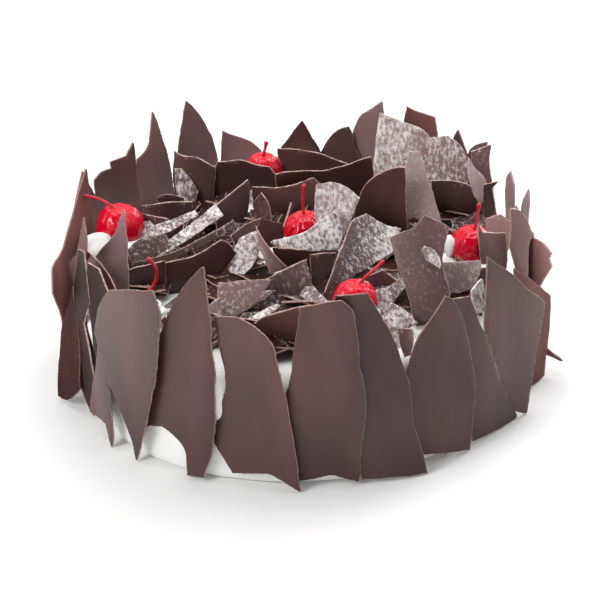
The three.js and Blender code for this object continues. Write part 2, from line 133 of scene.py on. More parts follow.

# The lightness and bloom of each heaped shard, which include painted light and shade, and its
# dusting.
HEAP_SHADING_AND_DUSTING = {
    "back_hollow_plate": ((1.4, 0.03), LIGHT_DUSTING),
    "back_left_plate": (PLAIN, (0.3, 0.05)),
    "back_left_tall": ((1.2, 0.05), LIGHT_DUSTING),
    "back_middle_plate": ((0.8, 0.0), LIGHT_DUSTING),
    "back_slab_left": ((2.0, 0.4), (0.85, 0.8, -0.4)),
    "back_slab_right": ((1.6, 0.2), (0.5, 0.5, -0.15)),
    "crescent": (PLAIN, (0.95, 0.85)),
    "front_dark_plate": ((2.9, 0.08), BARE),
    "front_flecked": ((1.9, 0.16), (0.25, 0.2)),
    "front_middle_plate": ((1.1, 0.12), (0.05, 0.45)),
    "left_front_plate": ((1.0, 0.01), BARE),
    "left_spike": ((2.3, 0.42), (0.1, 0.1)),
    "left_strip_dusted": (PLAIN, (0.8, 0.9)),
    "left_wing": ((1.0, 0.05), LIGHT_DUSTING),
    "long_dusted_slab": ((0.7, 0.03), (0.0, 0.65, 0.9)),
    "middle_spike": ((4.0, 0.35), LIGHT_DUSTING),
    "right_bowl": ((1.0, 0.0), LIGHT_DUSTING),
    "right_front_slab": ((1.2, 0.07), (0.1, 0.08)),
    "right_low_plate": ((2.6, 0.5), (0.25, 0.35)),
    "right_screen": ((1.9, 0.15), LIGHT_DUSTING),
    "sail": ((1.3, 0.03), (0.0, 0.05)),
    "speckled_leaf": ((1.4, 0.1), (0.9, 0.85)),
    "square_dusted": ((1.9, 0.55), (0.55, 0.8)),
    "tall_narrow": ((2.2, 0.8), (0.35, 0.3, -0.1)),
}

# Small shards tucked between the big ones: the point where each stands, the degrees by which it is
# turned about Z and leaned back, the radius to which its sides bend back or 0 where it is flat, its
# dusting, its shade, which includes painted light and shade, and its outline's corners as
# (across, up). The last word marks a shard whose side that set against the air is turned outwards.
DULL = "dull"
SMALL_SHARDS = [
    ((-69, 10, 74), 26, 62, 0, (0.6, 0.7), PLAIN, [(-8, 11), (20, 15), (20, 12), (2, 6), (-11, 4)]),
    ((-74, 52, 66), 4, 6, 90, (0.3, 0.3), PLAIN,
     [(-14, 11), (3, 12), (14, 10), (13, -4), (-10, -4)]),
    ((9, -43, 66), 20, 10, 0, (0.1, 0.1), (0.5, 0.0), [(-3, 20), (11, 18), (2, -3), (-4, -3)]),
    ((99, 21, 80), 60, 10, 0, BARE, (1.3, 0.5),
     [(-2, 29), (4, 20), (13, 10), (11, 4), (2, 0), (-3, 8), (-6, 19)]),
    ((105, 40, 66), -25, 4, 0, (0.5, 0.5), (1.9, 0.1),
     [(-9, 36), (2, 41), (1, 35), (3, 21), (6, 1), (-4, 0), (-7, 20)]),
    ((-65, 74, 66), -10, 15, 0, (0.8, 0.6), PLAIN,
     [(-6, 21), (-2, 21), (4, 15), (8, 8), (6, 1), (-3, 1), (-5, 9)]),
    ((-84, 27, 68), -8, 10, 0, (0.1, 0.3), PLAIN,
     [(-11, 15), (-6, 14), (12, 11), (14, 4), (-4, 0), (-11, 5)]),
    ((-86, 15, 68), 10, 50, 0, (0.6, 0.9), PLAIN, [(-6, 14), (6, 15), (11, 8), (0, 1), (-8, 0)]),
    ((-64, -9, 70), 28, 30, 0, (0.1, 0.3), (0.8, 0.0),
     [(-24, 6), (4, 6), (36, 14), (37, 10), (13, 5), (-12, 1)]),
    ((-73, 61, 66), 0, 20, 60, BARE, (0.8, 0.0),
     [(-7, 10), (-3, 12), (4, 11), (8, 9), (9, 0), (-6, 1)]),
    ((87, -78, 64), 30, 20, 0, (0.9, 0.9), PLAIN, [(-1, 14), (6, 18), (7, 11), (2, 1), (-2, 3)]),
    ((105, -13, 68), -10, 20, 0, (0.1, 0.1), (2.5, 0.45),
     [(-7, 18), (1, 20), (7, 16), (5, 1), (-5, 1)]),
    ((5, -62, 68), -10, 60, 0, (0.5, 0.5), PLAIN, [(-5, 11), (-1, 11), (7, 2), (0, 1), (-7, 5)]),
    ((-20, -81, 72), 22, 65, 0, (1.0, 1.0), PLAIN, [(-8, 1), (10, 6), (11, 4), (-1, -1)]),
    ((-45, -81, 64), 20, 25, 0, (0.4, 0.4), (2.2, 0.4),
     [(1, 14), (7, 17), (7, 10), (1, 1), (-1, 7)]),
    ((105, 17, 68), -20, 0, 0, BARE, (0.45, 0.0),
     [(-4, 26), (5, 29), (1, 24), (3, 10), (-1, 2), (-4, 8)]),
    ((46, -90, 64), -15, 40, 0, (0.8, 0.6), PLAIN,
     [(-10, 11), (-5, 15), (1, 13), (9, 6), (2, 1), (-6, -1)]),
    ((42, -72, 68), 30, 50, 0, (0.5, 0.5), (1.2, 0.1),
     [(-3, 11), (6, 10), (15, 13), (15, 9), (6, 4), (-1, 1)]),
    ((42, -49, 66), -8, 5, 0, (0.0, 0.2), PLAIN,
     [(-14, 5), (-9, 9), (-1, 12), (7, 6), (10, -1), (-7, 0)]),
    ((49, 18, 66), -20, 20, 0, (0.1, 0.1), PLAIN, [(-14, 11), (-3, 5), (5, 3), (-2, 0), (-9, 1)]),
    ((-23, -10, 68), 40, 30, 0, (0.0, 0.1), (0.6, 0.0),
     [(-9, 18), (2, 21), (13, 21), (6, 15), (-3, 11), (-9, 12)]),
    ((0, -16, 66), 6, -6, 0, BARE, (1.5, 0.0), [(-14, 14), (0, 11), (20, 8), (16, -4), (-10, 1)]),
    ((-6, 30, 66), 60, 0, 0, (0.3, 0.3), PLAIN, [(5, 16), (7, 13), (-1, 2), (-4, 5)]),
    ((-20, 37, 66), -20, 10, 0, (0.2, 0.2), PLAIN, [(-6, 14), (-1, 20), (3, 15), (5, 4), (-4, 1)]),
    ((68, -72, 62), -30, 20, 0, (0.5, 0.5), PLAIN, [(-10, 7), (-4, 12), (3, 10), (3, 1), (-5, -2)]),
    ((-21, -87, 60), 10, -4, 80, BARE, PLAIN,
     [(-19, 15), (-12, 17), (1, 13), (11, -2), (4, -10), (-16, -1)]),
    ((131, -21, 2), -40, 0, 0, BARE, PLAIN, [(-6, 14), (10, 6), (-6, 8)]),
    ((67, -103, 1), 12, 0, 0, BARE, PLAIN, [(-2, 16), (3, 14), (2, 6), (1, 0), (-1, 4)]),
    ((-104, -41, 66), -40, 10, 0, (0.1, 0.1), (2.4, 0.1),
     [(-11, 24), (-2, 20), (6, 14), (11, 7), (5, 1), (-6, 0)]),
    ((-120, -16, 60), -62, 0, 0, BARE, (2.0, 0.15),
     [(25, 51), (25, 39), (19, 24), (5, 3), (-3, -2), (-5, 13), (8, 24)], DULL),
    ((-113, -15, 62), -50, 0, 0, BARE, PLAIN, [(1, 16), (7, 17), (5, 2), (-1, 0)]),
    ((-120.4, -34.6, 14), -68, 3, 0, BARE, (0.32, 0.0),
     [(13, 83), (23, 86), (29, 61), (14, 42), (20, 33), (32, 5), (14, -4), (-3, 24),
      (0, 54)], DULL),
    ((-110.3, -58.4, 14), -62, 3, 0, BARE, (0.32, 0.0),
     [(2, 82), (16, 84), (26, 76), (23, 53), (13, 17), (3, 35), (2, 48), (-2, 65)], DULL),
    ((48, -111, 60), -30, 10, 0, (0.3, 0.3), (2.2, 0.15),
     [(-5, 16), (2, 17), (3, 9), (2, 4), (-1, 2), (-4, 9)]),
    ((43, -99, 63), -10, 30, 0, (0.8, 0.8), PLAIN, [(-9, 13), (1, 13), (5, 7), (3, -2), (-2, -4)]),
    ((89, -55, 70), 10, 30, 0, (0.1, 0.1), PLAIN,
     [(-9, 16), (-2, 10), (8, 8), (15, 5), (11, -4), (-1, -8), (-8, -1)]),
    ((114, -36, 66), 20, 0, 30, BARE, (1.9, 0.2),
     [(-6, 38), (-1, 36), (4, 27), (6, 20), (4, 17), (4, 6), (4, -6), (-2, -6), (-4, 7), (-6, 18),
      (-6, 28)]),
    ((66, -65, 93.5), 10, 30, 0, (0.5, 0.8), (1.5, 0.35),
     [(-6, 3), (-4, 5), (0, 3), (3, -4), (2, -7), (-2, -3), (-4, -2), (-5, 1)]),
    ((-78, -14, 70), 10, 40, 0, (0.2, 0.35), (0.8, 0.0),
     [(-12, 11), (-5, 16), (9, 17), (11, 10), (-1, 3), (-11, 1)]),
    ((-76, -34, 66), 6, 5, 0, (0.05, 0.05), (0.6, 0.0), [(-14, 13), (6, 16), (5, -3), (-15, -1)]),
    ((-15, 24, 66), 12, 55, 0, BARE, (0.6, 0.0), [(-13, -5), (9, -8), (15, 5), (-4, 12)], DULL),
]

# The bed of broken pieces that the heap stands on.
BED_COUNT = 165
BED_RADIUS = 106.0
BED_HEIGHTS = (62.5, 69.0)
BED_PIECE_RADII = (8.0, 15.0)
BED_PIECE_CORNERS = (4, 7)
# How much of its share of the round a corner strays over.
BED_CORNER_SPREAD = 0.7
BED_TILTS = (2.0, 34.0)
BED_CURLS = (60.0, 200.0)
BED_DUSTINGS = (0.0, 0.06, 0.25)
BED_COARSENESS = 1.5
ROSETTE_CLEARANCE = 25.0
# Painted shade: the bed is made darker, because it lies in the shadow of the heap.
BED_SHADE = (0.45, 0.0)
BED_SEED = 7


# ---- Settings ---------------------------------------------------------------


def colour_property(name, description, hex_colour):
    return FloatVectorProperty(
        name=name, description=description, default=linear(hex_colour), size=3,
        subtype="COLOR", min=0.0, max=1.0)


def length_property(name, description, millimetres):
    return FloatProperty(name=name, description=description, default=millimetres * MM,
                         min=0.0, unit="LENGTH", precision=5)


def angle_property(name, description, degrees):
    return FloatProperty(name=name, description=description, default=math.radians(degrees),
                         subtype="ANGLE")


def power_property(name, description, watts):
    return FloatProperty(name=name, description=description, default=watts, min=0.0, unit="POWER")


class CakeStageSettings(bpy.types.PropertyGroup):
    floor_colour: colour_property("Floor", "Colour of the plain floor", "#f3f3f1")
    camera_distance: length_property("Camera Distance", "From the cake's middle", 864.0)
    camera_lens: FloatProperty(
        name="Lens", description="Focal length on a 36 mm sensor, in millimetres", default=94.68)
    camera_elevation: angle_property("Elevation", "How far the camera looks down", 27.48)
    camera_roll: angle_property("Roll", "How far the camera is turned about its view", 2.92)
    world_strength: FloatProperty(
        name="Surround", description="Strength of the white surround", default=0.72, min=0.0)
    dark_side: FloatProperty(
        name="Dark Side", description="Strength of the unlit part behind the camera", default=0.04,
        min=0.0)
    key_power: power_property("Key Light", "The large softbox at the left", 13.0)
    fill_power: power_property("Fill Light", "The softbox at the right", 12.0)
    top_power: power_property("Top Light", "The softbox overhead", 13.0)


class CakeCreamSettings(bpy.types.PropertyGroup):
    colour: colour_property("Cream", "Colour of the whipped cream", "#f4f5f2")
    bulge: length_property("Bulge", "How far the cream swells out between the shards", 1.6)
    spatula_depth: length_property("Spatula Marks", "Depth of the spreading marks", 0.7)
    rope_radius: length_property("Rope Radius", "Half the width of the piped rope", 6.6)
    coil_radius: length_property("Coil Radius", "From a rosette's middle to its rope", 11.5)
    coil_rise: length_property("Coil Rise", "How much higher the rope ends than it starts", 3.0)
    ridge_depth: length_property("Ridge Depth", "Depth of the star nozzle's grooves", 1.5)
    ridges: IntProperty(name="Ridges", description="Points of the star nozzle", default=9, min=3)


class CakeCherrySettings(bpy.types.PropertyGroup):
    colour: colour_property("Cherry", "Colour of the candied skin", "#e8032c")
    stem_colour: colour_property("Stem", "Colour of the dyed stem", "#b01226")
    wrinkle_depth: length_property("Wrinkles", "Depth of the wrinkles in the skin", 0.3)
    stem_radius: length_property("Stem Radius", "Half the stem's width", 0.85)


class CakeShardSettings(bpy.types.PropertyGroup):
    colour: colour_property("Chocolate", "Colour of the plates", "#442525")
    warm_colour: colour_property("Warm Chocolate", "Colour of the redder patches", "#5e3835")
    edge_colour: colour_property("Snapped Edge", "Colour of the broken rim", "#cfab9f")
    # The bloom colour is also laid on as painted light, on shards that catch or reflect the light.
    bloom_and_light_colour: colour_property("Bloom", "Colour of the bloomed cocoa butter", "#bda8a7")
    wall_thickness: length_property("Wall Thickness", "Of the shards round the side", 1.2)
    heap_thickness: length_property("Heap Thickness", "Of the shards on top", 1.2)
    edge_sample: length_property("Edge Step", "Distance between points of a broken edge", 1.0)
    face_sample: length_property("Face Step", "Distance between points of a face", 1.9)
    ripple: length_property("Ripple", "Height of the soft waves in a plate", 0.3)


class CakeDustingSettings(bpy.types.PropertyGroup):
    colour: colour_property("Icing Sugar", "Colour of the sugar", "#f4efee")
    grain_radius: length_property("Grain Radius", "Half the width of a sugar clump", 0.2)
    grain_density: FloatProperty(
        name="Grain Density", description="Clumps on a square metre of the heaviest dusting",
        default=500000.0, min=0.0)
    crumb_radius: length_property("Crumb Radius", "Half the width of a chocolate crumb", 1.1)
    crumb_density: FloatProperty(
        name="Crumb Density", description="Crumbs on a square metre", default=26000.0, min=0.0)
    seed: IntProperty(name="Seed", description="Changes where the grains fall", default=3)


# ---- Nodes and pieces -------------------------------------------------------


def add(tree, kind, inputs=None, **settings):
    """A new node with its settings. Each input is given as a value, as another node's output, or
    as another node, which stands for its first output in use."""
    node = tree.nodes.new(kind)
    for name, value in settings.items():
        setattr(node, name, value)
    for key, value in (inputs or {}).items():
        if isinstance(value, bpy.types.Node):
            value = next(output for output in value.outputs if output.enabled)
        if isinstance(value, bpy.types.NodeSocket):
            tree.links.new(value, node.inputs[key])
        else:
            node.inputs[key].default_value = value
    return node


def new_piece(name, material, vertices, faces, attributes=None):
    """A mesh object in the scene, from vertices in metres, with float attributes on its points."""
    mesh = bpy.data.meshes.new(name)
    mesh.from_pydata([tuple(v) for v in vertices], [], [tuple(int(i) for i in f) for f in faces])
    for key, values in (attributes or {}).items():
        mesh.attributes.new(key, "FLOAT", "POINT").data.foreach_set(
            "value", np.asarray(values, np.float32))
    mesh.materials.append(material)
    piece = bpy.data.objects.new(name, mesh)
    bpy.context.scene.collection.objects.link(piece)
    return piece


def keep(piece, nodes=()):
    """Fastens a finished piece to the cake's body and hides the CAD nodes that it stands for."""
    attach(piece, "root")
    if nodes:
        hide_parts(*nodes)


def joined(parts):
    """Several (vertices, faces, attributes) as one."""
    vertices, faces, attributes, start = [], [], {}, 0
    for part_vertices, part_faces, part_attributes in parts:
        vertices.append(part_vertices)
        faces.extend([[i + start for i in face] for face in part_faces])
        for key, values in part_attributes.items():
            attributes.setdefault(key, []).append(values)
        start += len(part_vertices)
    return np.vstack(vertices), faces, {k: np.concatenate(v) for k, v in attributes.items()}


def seeded(name):
    """Random numbers that belong to a name."""
    return np.random.default_rng(zlib.crc32(name.encode()))


def made_by_nodes(name, base, tree, values):
    """A plain mesh object made by a Geometry Nodes tree from a base object, which is removed."""
    modifier = base.modifiers.new(name, "NODES")
    modifier.node_group = tree
    for item in tree.interface.items_tree:
        if item.item_type == "SOCKET" and item.in_out == "INPUT" and item.name in values:
            modifier[item.identifier] = values[item.name]
    bpy.context.view_layer.update()
    evaluated = base.evaluated_get(bpy.context.evaluated_depsgraph_get())
    mesh = bpy.data.meshes.new_from_object(evaluated)
    mesh.name = name
    base.modifiers.remove(modifier)
    bpy.data.objects.remove(base)
    piece = bpy.data.objects.new(name, mesh)
    bpy.context.scene.collection.objects.link(piece)
    return piece


def new_tree(name, sockets):
    """A Geometry Nodes tree and its inputs: a geometry, a material, and these by name and kind."""
    tree = bpy.data.node_groups.new(name, "GeometryNodeTree")
    tree.interface.new_socket("Geometry", in_out="OUTPUT", socket_type="NodeSocketGeometry")
    tree.interface.new_socket("Geometry", in_out="INPUT", socket_type="NodeSocketGeometry")
    for socket, kind in {**sockets, "Material": "Material"}.items():
        tree.interface.new_socket(socket, in_out="INPUT", socket_type="NodeSocket" + kind)
    return tree, add(tree, "NodeGroupInput").outputs


def finish_tree(tree, instances, material, smooth):
    """Ends a tree with real faces of a material."""
    real = add(tree, "GeometryNodeRealizeInstances", {"Geometry": instances})
    if smooth:
        real = add(tree, "GeometryNodeSetShadeSmooth", {"Geometry": real})
    finished = add(tree, "GeometryNodeSetMaterial", {"Geometry": real, "Material": material})
    add(tree, "NodeGroupOutput", {"Geometry": finished})
    return tree


# ---- Materials --------------------------------------------------------------
# Each function adds a surface's nodes to a material's tree and returns the last of them.


def dark_chocolate(tree, shine, sheen, shards, dusting):
    """Dark chocolate spread thin on film, set, and snapped: faces with soft upright redder
    streaks and faint spreading marks, and a paler crystalline rim where it broke. The side
    that set against the film shines more than the side that set against the air."""
    place = add(tree, "ShaderNodeTexCoord").outputs["Object"]
    # The tone and bloom attributes carry painted light and shade as well as each shard's own tone
    # and bloom.
    tone, bloom, edge, dusted = (
        add(tree, "ShaderNodeAttribute", attribute_name=key).outputs["Fac"]
        for key in ("tone", "bloom", "edge", "dusting"))
    upright = add(tree, "ShaderNodeVectorMath", {
        0: place, 1: (1.0, 1.0, 0.4)}, operation="MULTIPLY")
    patches = add(tree, "ShaderNodeTexNoise", {
        "Vector": upright, "Scale": per_metre(26), "Detail": 2.0, "Roughness": 0.45})
    warmth = add(tree, "ShaderNodeMapRange", {"Value": patches, "From Min": 0.38, "From Max": 0.68})
    warm = add(tree, "ShaderNodeMix", {
        "Factor": warmth, "A": (*shards.colour, 1),
        "B": (*shards.warm_colour, 1)}, data_type="RGBA")
    toned_and_shaded = add(tree, "ShaderNodeHueSaturation", {"Value": tone, "Color": warm})
    bloomed_and_lit = add(tree, "ShaderNodeMix", {
        "Factor": bloom, "A": toned_and_shaded, "B": (*shards.bloom_and_light_colour, 1)}, data_type="RGBA")
    crystals = add(tree, "ShaderNodeTexNoise", {
        "Vector": place, "Scale": per_metre(2.2), "Detail": 3.0})
    broken = add(tree, "ShaderNodeMath", {0: edge, 1: crystals}, operation="MULTIPLY")
    rim = add(tree, "ShaderNodeMapRange", {"Value": broken, "From Max": 0.62})
    bare = add(tree, "ShaderNodeMix", {
        "Factor": rim, "A": bloomed_and_lit, "B": (*shards.edge_colour, 1)}, data_type="RGBA")

    # Icing sugar lies on what faces up: blotches that have slid downwards, and finer flecks.
    facing = add(tree, "ShaderNodeSeparateXYZ", {
        "Vector": add(tree, "ShaderNodeNewGeometry").outputs["Normal"]})
    upwards = add(tree, "ShaderNodeMapRange", {
        "Value": facing.outputs["Z"], "From Min": 0.02, "From Max": 0.3})
    drifts = add(tree, "ShaderNodeTexNoise", {
        "Vector": place, "Scale": per_metre(9), "Detail": 1.0})
    drifted = add(tree, "ShaderNodeMapRange", {
        "Value": drifts, "From Min": 0.36, "From Max": 0.64, "To Min": 0.6, "To Max": 1.0})
    lying = add(tree, "ShaderNodeMath", {0: dusted, 1: upwards}, operation="MULTIPLY")
    amount = add(tree, "ShaderNodeMath", {0: lying, 1: drifted}, operation="MULTIPLY")
    slid = add(tree, "ShaderNodeVectorMath", {0: place, 1: (1.0, 1.0, 0.55)}, operation="MULTIPLY")
    blotches = add(tree, "ShaderNodeTexNoise", {
        "Vector": slid, "Scale": per_metre(1.8), "Detail": 1.5})
    flecks = add(tree, "ShaderNodeTexNoise", {
        "Vector": place, "Scale": per_metre(0.9), "Detail": 2.0})
    broken_up = add(tree, "ShaderNodeMix", {
        "Factor": 0.3, "A": blotches, "B": flecks}, data_type="FLOAT")
    cover = add(tree, "ShaderNodeMath", {
        0: amount, 1: 0.32, 2: broken_up}, operation="MULTIPLY_ADD")
    thick = add(tree, "ShaderNodeMapRange", {
        "Value": cover, "From Min": 0.58, "From Max": 0.84, "To Max": 0.95})
    any_sugar = add(tree, "ShaderNodeMapRange", {
        "Value": amount, "From Min": 0.0, "From Max": 0.32})
    sugar = add(tree, "ShaderNodeMath", {0: thick, 1: any_sugar}, operation="MULTIPLY")
    film = add(tree, "ShaderNodeMath", {0: lying, 1: 0.26}, operation="MULTIPLY")
    filmed = add(tree, "ShaderNodeMix", {
        "Factor": film, "A": bare, "B": (*shards.bloom_and_light_colour, 1)}, data_type="RGBA")
    colour = add(tree, "ShaderNodeMix", {
        "Factor": sugar, "A": filmed, "B": (*dusting.colour, 1)}, data_type="RGBA")
    matted = add(tree, "ShaderNodeMath", {0: film, 1: sugar}, operation="ADD", use_clamp=True)
    roughness = add(tree, "ShaderNodeMapRange", {"Value": matted, "To Min": 0.4, "To Max": 0.85})

    marks = add(tree, "ShaderNodeTexNoise", {
        "Vector": place, "Scale": per_metre(7), "Detail": 3.0, "Roughness": 0.45})
    swept = add(tree, "ShaderNodeBump", {"Height": marks, "Strength": 0.35, "Distance": 0.25 * MM})
    crisp = add(tree, "ShaderNodeBump", {
        "Height": sugar, "Strength": 0.6, "Distance": 0.3 * MM, "Normal": swept})
    return add(tree, "ShaderNodeBsdfPrincipled", {
        "Base Color": colour, "Roughness": roughness, "IOR": 1.46, "Specular IOR Level": shine,
        "Normal": crisp, "Sheen Weight": sheen, "Sheen Roughness": 0.45,
        "Sheen Tint": (0.9, 0.72, 0.72, 1)})


def whipped_cream(tree, cream):
    """Whipped cream spread with a palette knife: matt, faintly translucent, with soft sweeps
    and tiny air bubbles."""
    place = add(tree, "ShaderNodeTexCoord").outputs["Object"]
    sweeps = add(tree, "ShaderNodeTexNoise", {
        "Vector": place, "Scale": per_metre(9), "Detail": 2.0})
    bubbles = add(tree, "ShaderNodeTexNoise", {
        "Vector": place, "Scale": per_metre(1.2), "Detail": 2.0})
    soft = add(tree, "ShaderNodeBump", {"Height": sweeps, "Strength": 0.4, "Distance": 0.5 * MM})
    fine = add(tree, "ShaderNodeBump", {
        "Height": bubbles, "Strength": 0.2, "Distance": 0.1 * MM, "Normal": soft})
    return add(tree, "ShaderNodeBsdfPrincipled", {
        "Base Color": (*cream.colour, 1), "Roughness": 0.5, "IOR": 1.45, "Subsurface Weight": 0.35,
        "Subsurface Radius": (1.0, 0.9, 0.8), "Subsurface Scale": 2 * MM, "Normal": fine})


def candied_cherry_skin(tree, cherries):
    """A cherry steeped in red syrup: deep even red under a wet, wrinkled, glossy skin."""
    place = add(tree, "ShaderNodeTexCoord").outputs["Object"]
    blush = add(tree, "ShaderNodeTexNoise", {"Vector": place, "Scale": per_metre(6), "Detail": 2.0})
    deep = [0.7 * channel for channel in cherries.colour]
    colour = add(tree, "ShaderNodeMix", {
        "Factor": blush, "A": (*deep, 1), "B": (*cherries.colour, 1)}, data_type="RGBA")
    wrinkles = add(tree, "ShaderNodeTexNoise", {
        "Vector": place, "Scale": per_metre(2.4), "Detail": 2.0, "Distortion": 0.8})
    creased = add(tree, "ShaderNodeBump", {
        "Height": wrinkles, "Strength": 0.5, "Distance": 0.5 * MM})
    return add(tree, "ShaderNodeBsdfPrincipled", {
        "Base Color": colour, "Roughness": 0.07, "IOR": 1.46, "Subsurface Weight": 0.25,
        "Subsurface Radius": (1.0, 0.15, 0.12), "Subsurface Scale": 2.5 * MM, "Normal": creased})


def dyed_stem(tree, cherries):
    """A cherry stem dyed by the syrup: satin, with lengthwise variation."""
    place = add(tree, "ShaderNodeTexCoord").outputs["Object"]
    streaks = add(tree, "ShaderNodeTexNoise", {
        "Vector": place, "Scale": per_metre(2.5), "Detail": 2.0})
    pale = [min(1.0, 1.5 * channel + 0.02) for channel in cherries.stem_colour]
    colour = add(tree, "ShaderNodeMix", {
        "Factor": streaks, "A": (*cherries.stem_colour, 1), "B": (*pale, 1)}, data_type="RGBA")
    return add(tree, "ShaderNodeBsdfPrincipled", {
        "Base Color": colour, "Roughness": 0.32, "IOR": 1.45})


def icing_sugar(tree, dusting):
    """Finely milled sugar in loose clumps: pure matt white."""
    place = add(tree, "ShaderNodeTexCoord").outputs["Object"]
    grain = add(tree, "ShaderNodeTexNoise", {
        "Vector": place, "Scale": per_metre(0.5), "Detail": 1.0})
    shade = [0.82 * channel for channel in dusting.colour]
    colour = add(tree, "ShaderNodeMix", {
        "Factor": grain, "A": (*shade, 1), "B": (*dusting.colour, 1)}, data_type="RGBA")
    return add(tree, "ShaderNodeBsdfPrincipled", {
        "Base Color": colour, "Roughness": 0.85, "IOR": 1.5})


def painted_floor(tree, stage):
    """A plain matt studio floor."""
    return add(tree, "ShaderNodeBsdfDiffuse", {"Color": (*stage.floor_colour, 1)})


def made_material(name, surface, *settings):
    """The material of that name, made by its surface function when it is first asked for."""
    if name not in bpy.data.materials:
        material = bpy.data.materials.new(name)
        material.use_nodes = True
        tree = material.node_tree
        tree.nodes.clear()
        add(tree, "ShaderNodeOutputMaterial", {"Surface": surface(tree, *settings)})
    return bpy.data.materials[name]


# The shine and the sheen of the side that set against the film, and of the side that set against
# the air.
FILM_SIDE = (0.5, 0.06)
AIR_SIDE = (0.03, 0.0)


def chocolate_for(scene, dull=False):
    name = "dull_dark_chocolate" if dull else "tempered_dark_chocolate"
    side = AIR_SIDE if dull else FILM_SIDE
    return made_material(name, dark_chocolate, *side, scene.cake_shards, scene.cake_dusting)


def cream_for(scene):
    return made_material("whipped_cream", whipped_cream, scene.cake_cream)


# ---- Chocolate plates -------------------------------------------------------

# A corner that turns by more than this stays a point; a shallower one is worn round.
SHARP_TURN = math.radians(42)
SHARP_REACH = 3.0
WORN_PASSES = 10
# The wavelengths and heights of a snapped edge's waver, in millimetres.
SNAP_WAVES = ((15.0, 0.5), (6.0, 0.24), (2.6, 0.1))
RIM_WIDTH = 0.3
RIM_SHARE = 0.28
RIM_ROUGHNESS = 0.09
# The dusting rises from a plate's left side to its right by this power of the way across.
DRIFT_POWER = 1.6
TONES = (0.93, 1.07)
RIPPLE_LENGTHS = (30.0, 55.0)
# How far a face's inner points stay from its edge, as a share of their spacing.
EDGE_CLEARANCE = 0.55
# A triangle is part of a plate's front where its normal leans this far towards the front.
FRONT_FACING = 0.6
# The smallest bend and step, in millimetres, that an outline's points make.
LEAST_BEND = 0.12
LEAST_STEP = 0.4
CRISP_EDGE = math.radians(38)


def edge_waves(along, perimeter, waves, rng):
    """Soft random waves along a closed edge."""
    total = np.zeros(len(along))
    for wavelength, height in waves:
        count = max(3, round(perimeter / wavelength))
        knots = rng.uniform(-height, height, count)
        place = along / perimeter * count
        left = place.astype(int) % count
        share = place - np.floor(place)
        share = share * share * (3 - 2 * share)
        total += knots[left] * (1 - share) + knots[(left + 1) % count] * share
    return total


def unit(rows):
    """Rows of (x, y), each made one long."""
    return rows / np.maximum(np.hypot(*rows.T), TINY)[:, None]


def outward_normals(loop):
    """The unit normals of an anticlockwise loop of points."""
    along = np.roll(loop, -1, 0) - np.roll(loop, 1, 0)
    return unit(np.column_stack([along[:, 1], -along[:, 0]]))


def snapped_outline(corners, step, rng):
    """The outline of a broken plate: its corners joined by edges that waver as snapped
    chocolate does, with the shallow corners worn round."""
    corners = np.array(corners, float)
    if np.sum(corners[:, 0] * np.roll(corners[:, 1], -1)
              - np.roll(corners[:, 0], -1) * corners[:, 1]) < 0:
        corners = corners[::-1]
    sides = np.roll(corners, -1, 0) - corners
    lengths = np.hypot(*sides.T)
    headings = np.arctan2(sides[:, 1], sides[:, 0])
    turns = (headings - np.roll(headings, 1) + math.pi) % math.tau - math.pi
    sharp = np.abs(turns) > SHARP_TURN
    points, pointed = [], []
    for i, side in enumerate(sides):
        share = np.arange(max(1, round(lengths[i] / step)))[:, None]
        share = share / len(share)
        points.append(corners[i] + share * side)
        gone, left = share[:, 0] * lengths[i], (1 - share[:, 0]) * lengths[i]
        pointed.append(np.maximum(
            sharp[i] * np.exp(-(gone / SHARP_REACH) ** 2),
            sharp[(i + 1) % len(sides)] * np.exp(-(left / SHARP_REACH) ** 2)))
    points, pointed = np.vstack(points), np.concatenate(pointed)[:, None]
    worn = points
    for _ in range(WORN_PASSES):
        worn = (np.roll(worn, 1, 0) + 2 * worn + np.roll(worn, -1, 0)) / 4
    points = worn * (1 - pointed) + points * pointed
    along = np.cumsum(np.hypot(*(points - np.roll(points, 1, 0)).T))
    waver = edge_waves(along, along[-1], SNAP_WAVES, rng)
    return points + outward_normals(points) * waver[:, None]


def inside(points, loop):
    """Which points lie inside a closed loop."""
    x, y = points[:, :1], points[:, 1:]
    after = np.roll(loop, -1, 0)
    crosses = (loop[:, 1] > y) != (after[:, 1] > y)
    rise = np.where(after[:, 1] == loop[:, 1], TINY, after[:, 1] - loop[:, 1])
    at = loop[:, 0] + (y - loop[:, 1]) / rise * (after[:, 0] - loop[:, 0])
    return np.sum(crosses & (x < at), axis=1) % 2 == 1


def triangulated(loop, spacing):
    """A loop filled with even triangles: its points and its anticlockwise triangles."""
    low, high = loop.min(0), loop.max(0)
    rows = np.arange(low[1], high[1], spacing * math.sqrt(3) / 2)
    grid = [(x + (spacing / 2 if i % 2 else 0), y)
            for i, y in enumerate(rows) for x in np.arange(low[0], high[0], spacing)]
    grid = np.array(grid).reshape(-1, 2)
    grid = grid[inside(grid, loop)]
    if len(grid):
        gaps = np.hypot(grid[:, None, 0] - loop[None, :, 0], grid[:, None, 1] - loop[None, :, 1])
        grid = grid[gaps.min(1) > spacing * EDGE_CLEARANCE]
    flat = [Vector(p) for p in np.vstack([loop, grid])]
    filled = delaunay_2d_cdt(flat, [], [list(range(len(loop)))], 1, 1e-5)
    return np.array([tuple(p) for p in filled[0]]), [list(face) for face in filled[2]]


def rim_of(faces):
    """The directed edges that only one triangle has."""
    seen = {(a, b) for f in faces for a, b in zip(f, f[1:] + f[:1])}
    return [(a, b) for a, b in sorted(seen) if (b, a) not in seen]


def rim_points(flat, rim):
    """The points on the rim of a flat face, and the unit normals with which they face outwards."""
    outwards = np.zeros_like(flat)
    for a, b in rim:
        along = flat[b] - flat[a]
        outwards[[a, b]] += np.array([along[1], -along[0]]) / max(np.hypot(*along), TINY)
    edge_points = sorted({i for pair in rim for i in pair})
    return edge_points, unit(outwards[edge_points])


